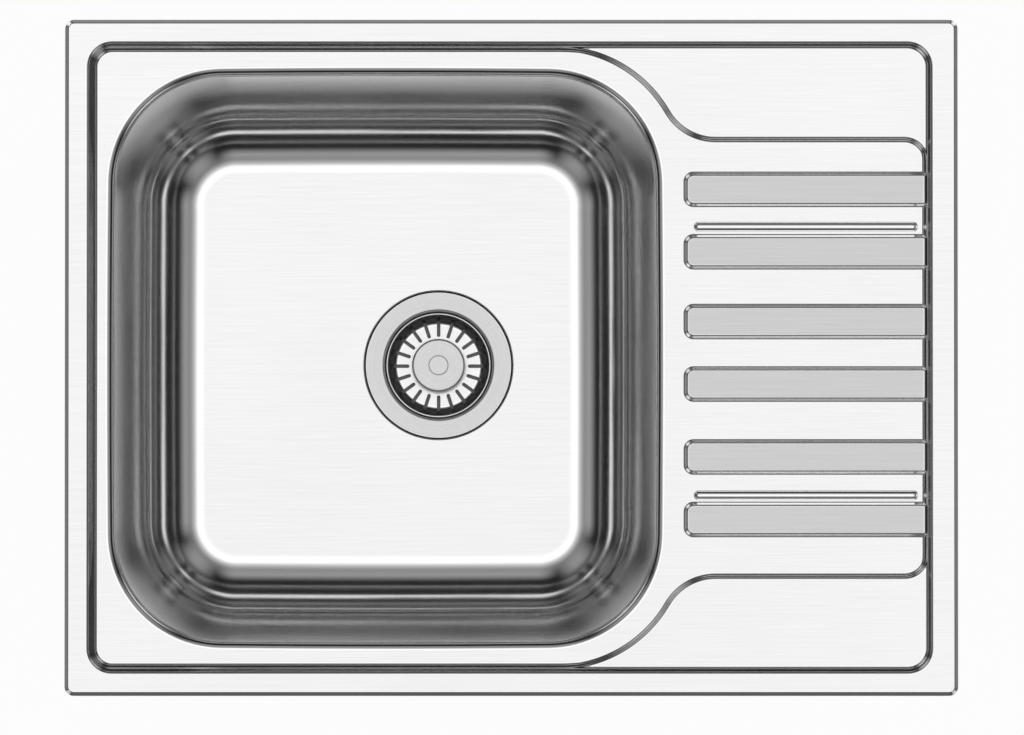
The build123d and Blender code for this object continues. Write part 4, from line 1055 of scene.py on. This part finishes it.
def brushed_stainless(name):
    """Satin sheet brushed along the sink. The ribs' flat tops are a darker grey and rougher."""
    material, tree, shader, found = new_finish(
        name, 1.0, 0.14, brushing, Length=0.06, Pitch=0.0011, Depth=0.000004)
    rib = add_node(tree, "ShaderNodeAttribute", attribute_name="rib_top").outputs["Fac"]
    plain = mixed(tree, between(tree, found["Streak"]), 0.88, 0.925)
    rib_top_tone = mixed(tree, between(tree, found["Streak"]), 0.71, 0.77)
    smooth = between(tree, found["Cloud"], 0.12, 0.16)
    rough = add_node(tree, "ShaderNodeMix", {"Factor": rib, "A": smooth, "B": 0.38})
    coloured(tree, shader, mixed(tree, rib, plain, rib_top_tone), rough.outputs["Result"])
    return material


def lathe_finish(name, dark, pale, smooth, rough, depth, spread=0.0):
    """Steel with lathe rings about the waste's axis, which spread the light across them."""
    material, tree, shader, found = new_finish(
        name, 1.0, rough, turning, Axis=AXIS_PLACE, Pitch=0.0005, Depth=depth)
    if spread:
        shader.inputs["Anisotropic"].default_value = spread
        rings = add_node(tree, "ShaderNodeTangent", direction_type="RADIAL", axis="Z")
        tree.links.new(rings.outputs["Tangent"], shader.inputs["Tangent"])
    coloured(tree, shader, mixed(tree, between(tree, found["Ring"]), dark, pale),
             between(tree, found["Ring"], smooth, rough))
    return material


def rolled_sheet(name, dark, pale, smooth, rough):
    """Sheet or strip as the mill rolled it: dull, with faint rolling lines."""
    material, tree, shader, found = new_finish(
        name, 1.0, rough, brushing, Length=0.03, Pitch=0.0016, Depth=0.00001)
    coloured(tree, shader, mixed(tree, between(tree, found["Cloud"]), dark, pale),
             between(tree, found["Streak"], smooth, rough))
    return material


def zinc_plate(name):
    """Zinc plated fastener: crystal patches from pale blue to straw."""
    material, tree, shader, found = new_finish(
        name, 1.0, 0.34, grain, Cells=900.0, Clouds=70.0, Depth=0.00002)
    patches = mixed(tree, between(tree, found["Cloud"]), (0.62, 0.66, 0.70), (0.76, 0.73, 0.60))
    coloured(tree, shader, mixed(tree, found["Cell"], patches, (0.85, 0.85, 0.83)),
             between(tree, found["Cloud"], 0.26, 0.42))
    return material


def soft_finish(name, dark, pale, cells, clouds, depth, smooth, rough):
    """Rubber, foam, bitumen or moulded plastic: two tones in clouds over a fine cell grain."""
    material, tree, shader, found = new_finish(
        name, 0.0, rough, grain, Cells=cells, Clouds=clouds, Depth=depth)
    tone = mixed(tree, between(tree, found["Cloud"]), dark, pale)
    coloured(tree, shader, mixed(tree, found["Cell"], tone, pale),
             between(tree, found["Cloud"], smooth, rough))
    return material


brushing, turning, grain = brush_marks(), turning_marks(), fine_grain()
finishes = {name: make(name, *values) for name, make, *values in (
    ("brushed_stainless", brushed_stainless),
    ("turned_stainless", lathe_finish, 0.74, 0.86, 0.26, 0.36, 0.00005, 0.85),
    ("drawn_stainless", lathe_finish, 0.86, 0.92, 0.12, 0.18, 0.00001),
    # Dark steel that paints the shade inside the cup and under the knob's disc.
    ("dulled_stainless", lathe_finish, 0.30, 0.40, 0.45, 0.60, 0.00002),
    ("pressed_underside", rolled_sheet, (0.40, 0.41, 0.42), (0.50, 0.51, 0.52), 0.34, 0.46),
    ("rail_steel", rolled_sheet, (0.52, 0.53, 0.54), (0.66, 0.67, 0.68), 0.32, 0.46),
    ("zinc_steel", zinc_plate),
    ("foam_seal", soft_finish, (0.10, 0.10, 0.11), (0.22, 0.22, 0.23), 1400, 40, 0.0004, 0.85, 0.98),
    ("sound_pad", soft_finish, (0.035, 0.036, 0.04), (0.075, 0.076, 0.08), 500, 25, 0.0005, 0.7, 0.95),
    ("black_rubber", soft_finish, (0.018, 0.018, 0.019), (0.045, 0.045, 0.045),
     2200, 60, 0.00005, 0.42, 0.62),
    ("grey_plastic", soft_finish, (0.70, 0.70, 0.68), (0.80, 0.80, 0.78), 1800, 30, 0.00003, 0.34, 0.46),
)}
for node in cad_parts.values():
    slot = node.data.materials[0].name.split(".")[0]
    node.data.materials.clear()
    node.data.materials.append(finishes[slot])

# ------------------------------------------------------------------ pieces of the sink
round_tree, ridge_tree = round_the_axis(), screw_ridge()
bolt_low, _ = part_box("clamp_bolts")
bolt_places = []
for number in range(1, 9):
    low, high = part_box(f"wing_nut_{number}")
    bolt_places.append(((low.x + high.x) / 2 / MM, (low.y + high.y) / 2 / MM))

pieces = (
    (pressed_top(), "sink", "deck_pressing", "brushed_stainless"),
    (pressed_bowl(), "sink", "bowl_pressing", "brushed_stainless"),
    (drain_cup(finishes["turned_stainless"]), "sink", "strainer_cup", "turned_stainless"),
    (slotted_basket(finishes["drawn_stainless"]), "basket", "basket_cup", "turned_stainless"),
    (mushroom_knob(), "basket", "basket_knob", "turned_stainless"),
    (centre_cap(), "basket", "knob_cap", "turned_stainless"),
    (wound_thread("outlet_thread", [(WASTE_X, WASTE_Y)], OUTLET_RADIUS, FLOOR_Z + THREAD_FOOT,
                  THREAD_TOP - THREAD_FOOT, THREAD_PITCH, THREAD_RIDGE, OUTLET_STEPS,
                  finishes["grey_plastic"]),
     "sink", None, "grey_plastic"),
    (wound_thread("bolt_threads", bolt_places, BOLT_THREAD_RADIUS, bolt_low.z / MM + BOLT_THREAD_START,
                  BOLT_THREAD_LENGTH, BOLT_THREAD_PITCH, BOLT_RIDGE, BOLT_STEPS, finishes["zinc_steel"]),
     "sink", None, "zinc_steel"),
)
UNDER_TILT = 0.01
CUP_MOUTH_FOOT = FLANGE_TOP - CUP_MOUTH_BEND - FLANGE_SHEET
# Second finishes: which faces have one, from a face's height over the bowl's floor and its normal.
second_finishes = {
    # Painted shade: a darker steel finish below the cup's mouth and the knob's disc, where the photograph is
    # black.
    "drain_cup": ("dulled_stainless", lambda height, normal: height < CUP_MOUTH_FOOT),
    "mushroom_knob": ("dulled_stainless", lambda height, normal: height < KNOB_TOP - KNOB_DISC),
    # The pressings are brushed on top only. Their undersides stay as rolled.
    "pressed_top": ("pressed_underside", lambda height, normal: normal.z < -UNDER_TILT),
    "pressed_bowl": ("pressed_underside", lambda height, normal: normal.z < -UNDER_TILT),
}
for piece, body, replaced, slot in pieces:
    if not piece.data.materials:
        piece.data.materials.append(finishes[slot])
    if piece.name in second_finishes:
        second, has_second = second_finishes[piece.name]
        piece.data.materials.append(finishes[second])
        last = len(piece.data.materials) - 1
        for face in piece.data.polygons:
            if has_second(face.center.z / MM - FLOOR_Z, face.normal):
                face.material_index = last
    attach(piece, body)
    if replaced:
        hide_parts(replaced)


# ------------------------------------------------------------------ floor, light and camera
FLOOR_REACH = 40.0
corners = ((-FLOOR_REACH, -FLOOR_REACH), (FLOOR_REACH, -FLOOR_REACH),
           (FLOOR_REACH, FLOOR_REACH), (-FLOOR_REACH, FLOOR_REACH))
floor_mesh = bpy.data.meshes.new("floor")
floor_mesh.from_pydata([(x, y, OUTLET_END * MM) for x, y in corners], [], [(0, 1, 2, 3)])
floor = placed("floor", floor_mesh)


def floor_paint():
    """Pale background that keeps the sink's shadow. From below it is seen through."""
    paint = bpy.data.materials.new("floor_paint")
    paint.use_nodes = True
    tree = paint.node_tree
    shader = tree.nodes["Principled BSDF"]
    shader.inputs["Base Color"].default_value = (0.8, 0.8, 0.8, 1)
    shader.inputs["Roughness"].default_value = 0.8
    glow = add_node(tree, "ShaderNodeEmission")
    path = add_node(tree, "ShaderNodeLightPath").outputs
    seen = maths(tree, "MAXIMUM", path["Is Camera Ray"], path["Is Glossy Ray"])
    seen = maths(tree, "MAXIMUM", seen, path["Is Transmission Ray"])
    above = add_node(tree, "ShaderNodeMixShader", {
        0: maths(tree, "MULTIPLY", seen, PALE), 1: shader.outputs["BSDF"], 2: glow.outputs["Emission"]})
    clear = add_node(tree, "ShaderNodeBsdfTransparent")
    side = add_node(tree, "ShaderNodeNewGeometry").outputs["Backfacing"]
    either = add_node(tree, "ShaderNodeMixShader", {0: side, 1: above.outputs[0], 2: clear.outputs[0]})
    tree.links.new(either.outputs["Shader"], tree.nodes["Material Output"].inputs["Surface"])
    return paint


floor_mesh.materials.append(floor_paint())
scene = bpy.context.scene
scene.view_settings.view_transform = "Standard"

# Strength of the studio's soft boxes, by the angle from straight up: towards the sink's sides,
# half way to its corners, and towards its corners. A wide bright top, dark sides, a low band.
# The rows from 74 to 31 degrees, and the level straight up, are close to what a program's fits to
# the photograph's bowl walls gave. The other rows were chosen.
SOFT_BOXES = (
    (88.0, (0.10, 0.02, 0.10)),
    (84.5, (0.40, 0.10, 1.30)),
    (80.0, (0.30, 0.10, 1.30)),
    (74.0, (0.01, 0.01, 0.02)),
    (66.0, (0.01, 0.01, 0.10)),
    (55.0, (0.02, 0.01, 0.30)),
    (42.0, (0.36, 0.06, 0.30)),
    (31.0, (0.26, 0.16, 0.22)),
    (23.0, (0.55, 0.50, 0.55)),
    (16.0, (1.30, 1.30, 1.30)),
    (8.0, (1.15, 1.15, 1.15)),
    (0.0, (0.95, 0.95, 0.95)),
)


def studio():
    """World of soft boxes round the sink, from the height and the compass direction of each ray."""
    world = bpy.data.worlds.new("studio")
    world.use_nodes = True
    tree = world.node_tree
    tree.nodes.clear()
    direction = add_node(tree, "ShaderNodeTexCoord").outputs["Generated"]
    axes = add_node(tree, "ShaderNodeSeparateXYZ", {0: direction}).outputs
    across, along = (maths(tree, "MULTIPLY", axes[k], axes[k]) for k in "XY")
    flat = maths(tree, "MAXIMUM", maths(tree, "ADD", across, along), 1e-6)
    # 0 towards the sink's sides and 1 towards its corners.
    cornerwise = maths(
        tree, "DIVIDE", maths(tree, "MULTIPLY", maths(tree, "MULTIPLY", across, along), 4.0),
        maths(tree, "MULTIPLY", flat, flat))
    height = add_node(tree, "ShaderNodeValToRGB", {0: axes["Z"]})
    compass = add_node(tree, "ShaderNodeValToRGB", {0: cornerwise})
    levels = [(math.cos(math.radians(angle)), strengths) for angle, strengths in SOFT_BOXES]
    shares = [(0.0, (1, 0, 0)), (0.5, (0, 1, 0)), (1.0, (0, 0, 1))]
    for ramp, table in ((height, levels), (compass, shares)):
        stops = ramp.color_ramp.elements
        for k, (place, colour) in enumerate(table):
            stop = stops[0] if k == 0 else stops[-1] if k == len(table) - 1 else stops.new(place)
            stop.position = place
            stop.color = (*colour, 1)
    level = add_node(tree, "ShaderNodeVectorMath", {
        0: height.outputs["Color"], 1: compass.outputs["Color"]}, operation="DOT_PRODUCT").outputs["Value"]
    # The camera itself sees a plain pale background in place of the soft boxes.
    white = (1, 1, 1, 1)
    lit = add_node(tree, "ShaderNodeBackground", {"Color": white, "Strength": level})
    plain = add_node(tree, "ShaderNodeBackground", {"Color": white, "Strength": PALE})
    shown = add_node(tree, "ShaderNodeMixShader", {
        0: add_node(tree, "ShaderNodeLightPath").outputs["Is Camera Ray"],
        1: lit.outputs[0], 2: plain.outputs[0]})
    add_node(tree, "ShaderNodeOutputWorld", {"Surface": shown.outputs[0]})
    return world


scene.world = studio()

# The camera looks straight down but for a small tilt, from far above, with the photograph's scale.
CAMERA_FAR, SENSOR = 8.7, 36.0
TILT = math.radians(1.7)
TARGET_X, TARGET_Y = 0.49, -7.4
PICTURE_WIDTH, PIXELS_A_MM = 1024, 1.3543
camera_data = bpy.data.cameras.new("camera")
camera_data.sensor_width = SENSOR
camera_data.lens = SENSOR * CAMERA_FAR / (PICTURE_WIDTH / PIXELS_A_MM * MM)
camera_data.clip_end = 100.0
camera = placed("camera", camera_data)
camera.location = Vector((TARGET_X, TARGET_Y, RIM_TOP)) * MM
camera.location += CAMERA_FAR * Vector((0, -math.sin(TILT), math.cos(TILT)))
camera.rotation_euler = (TILT, 0, 0)
scene.camera = camera
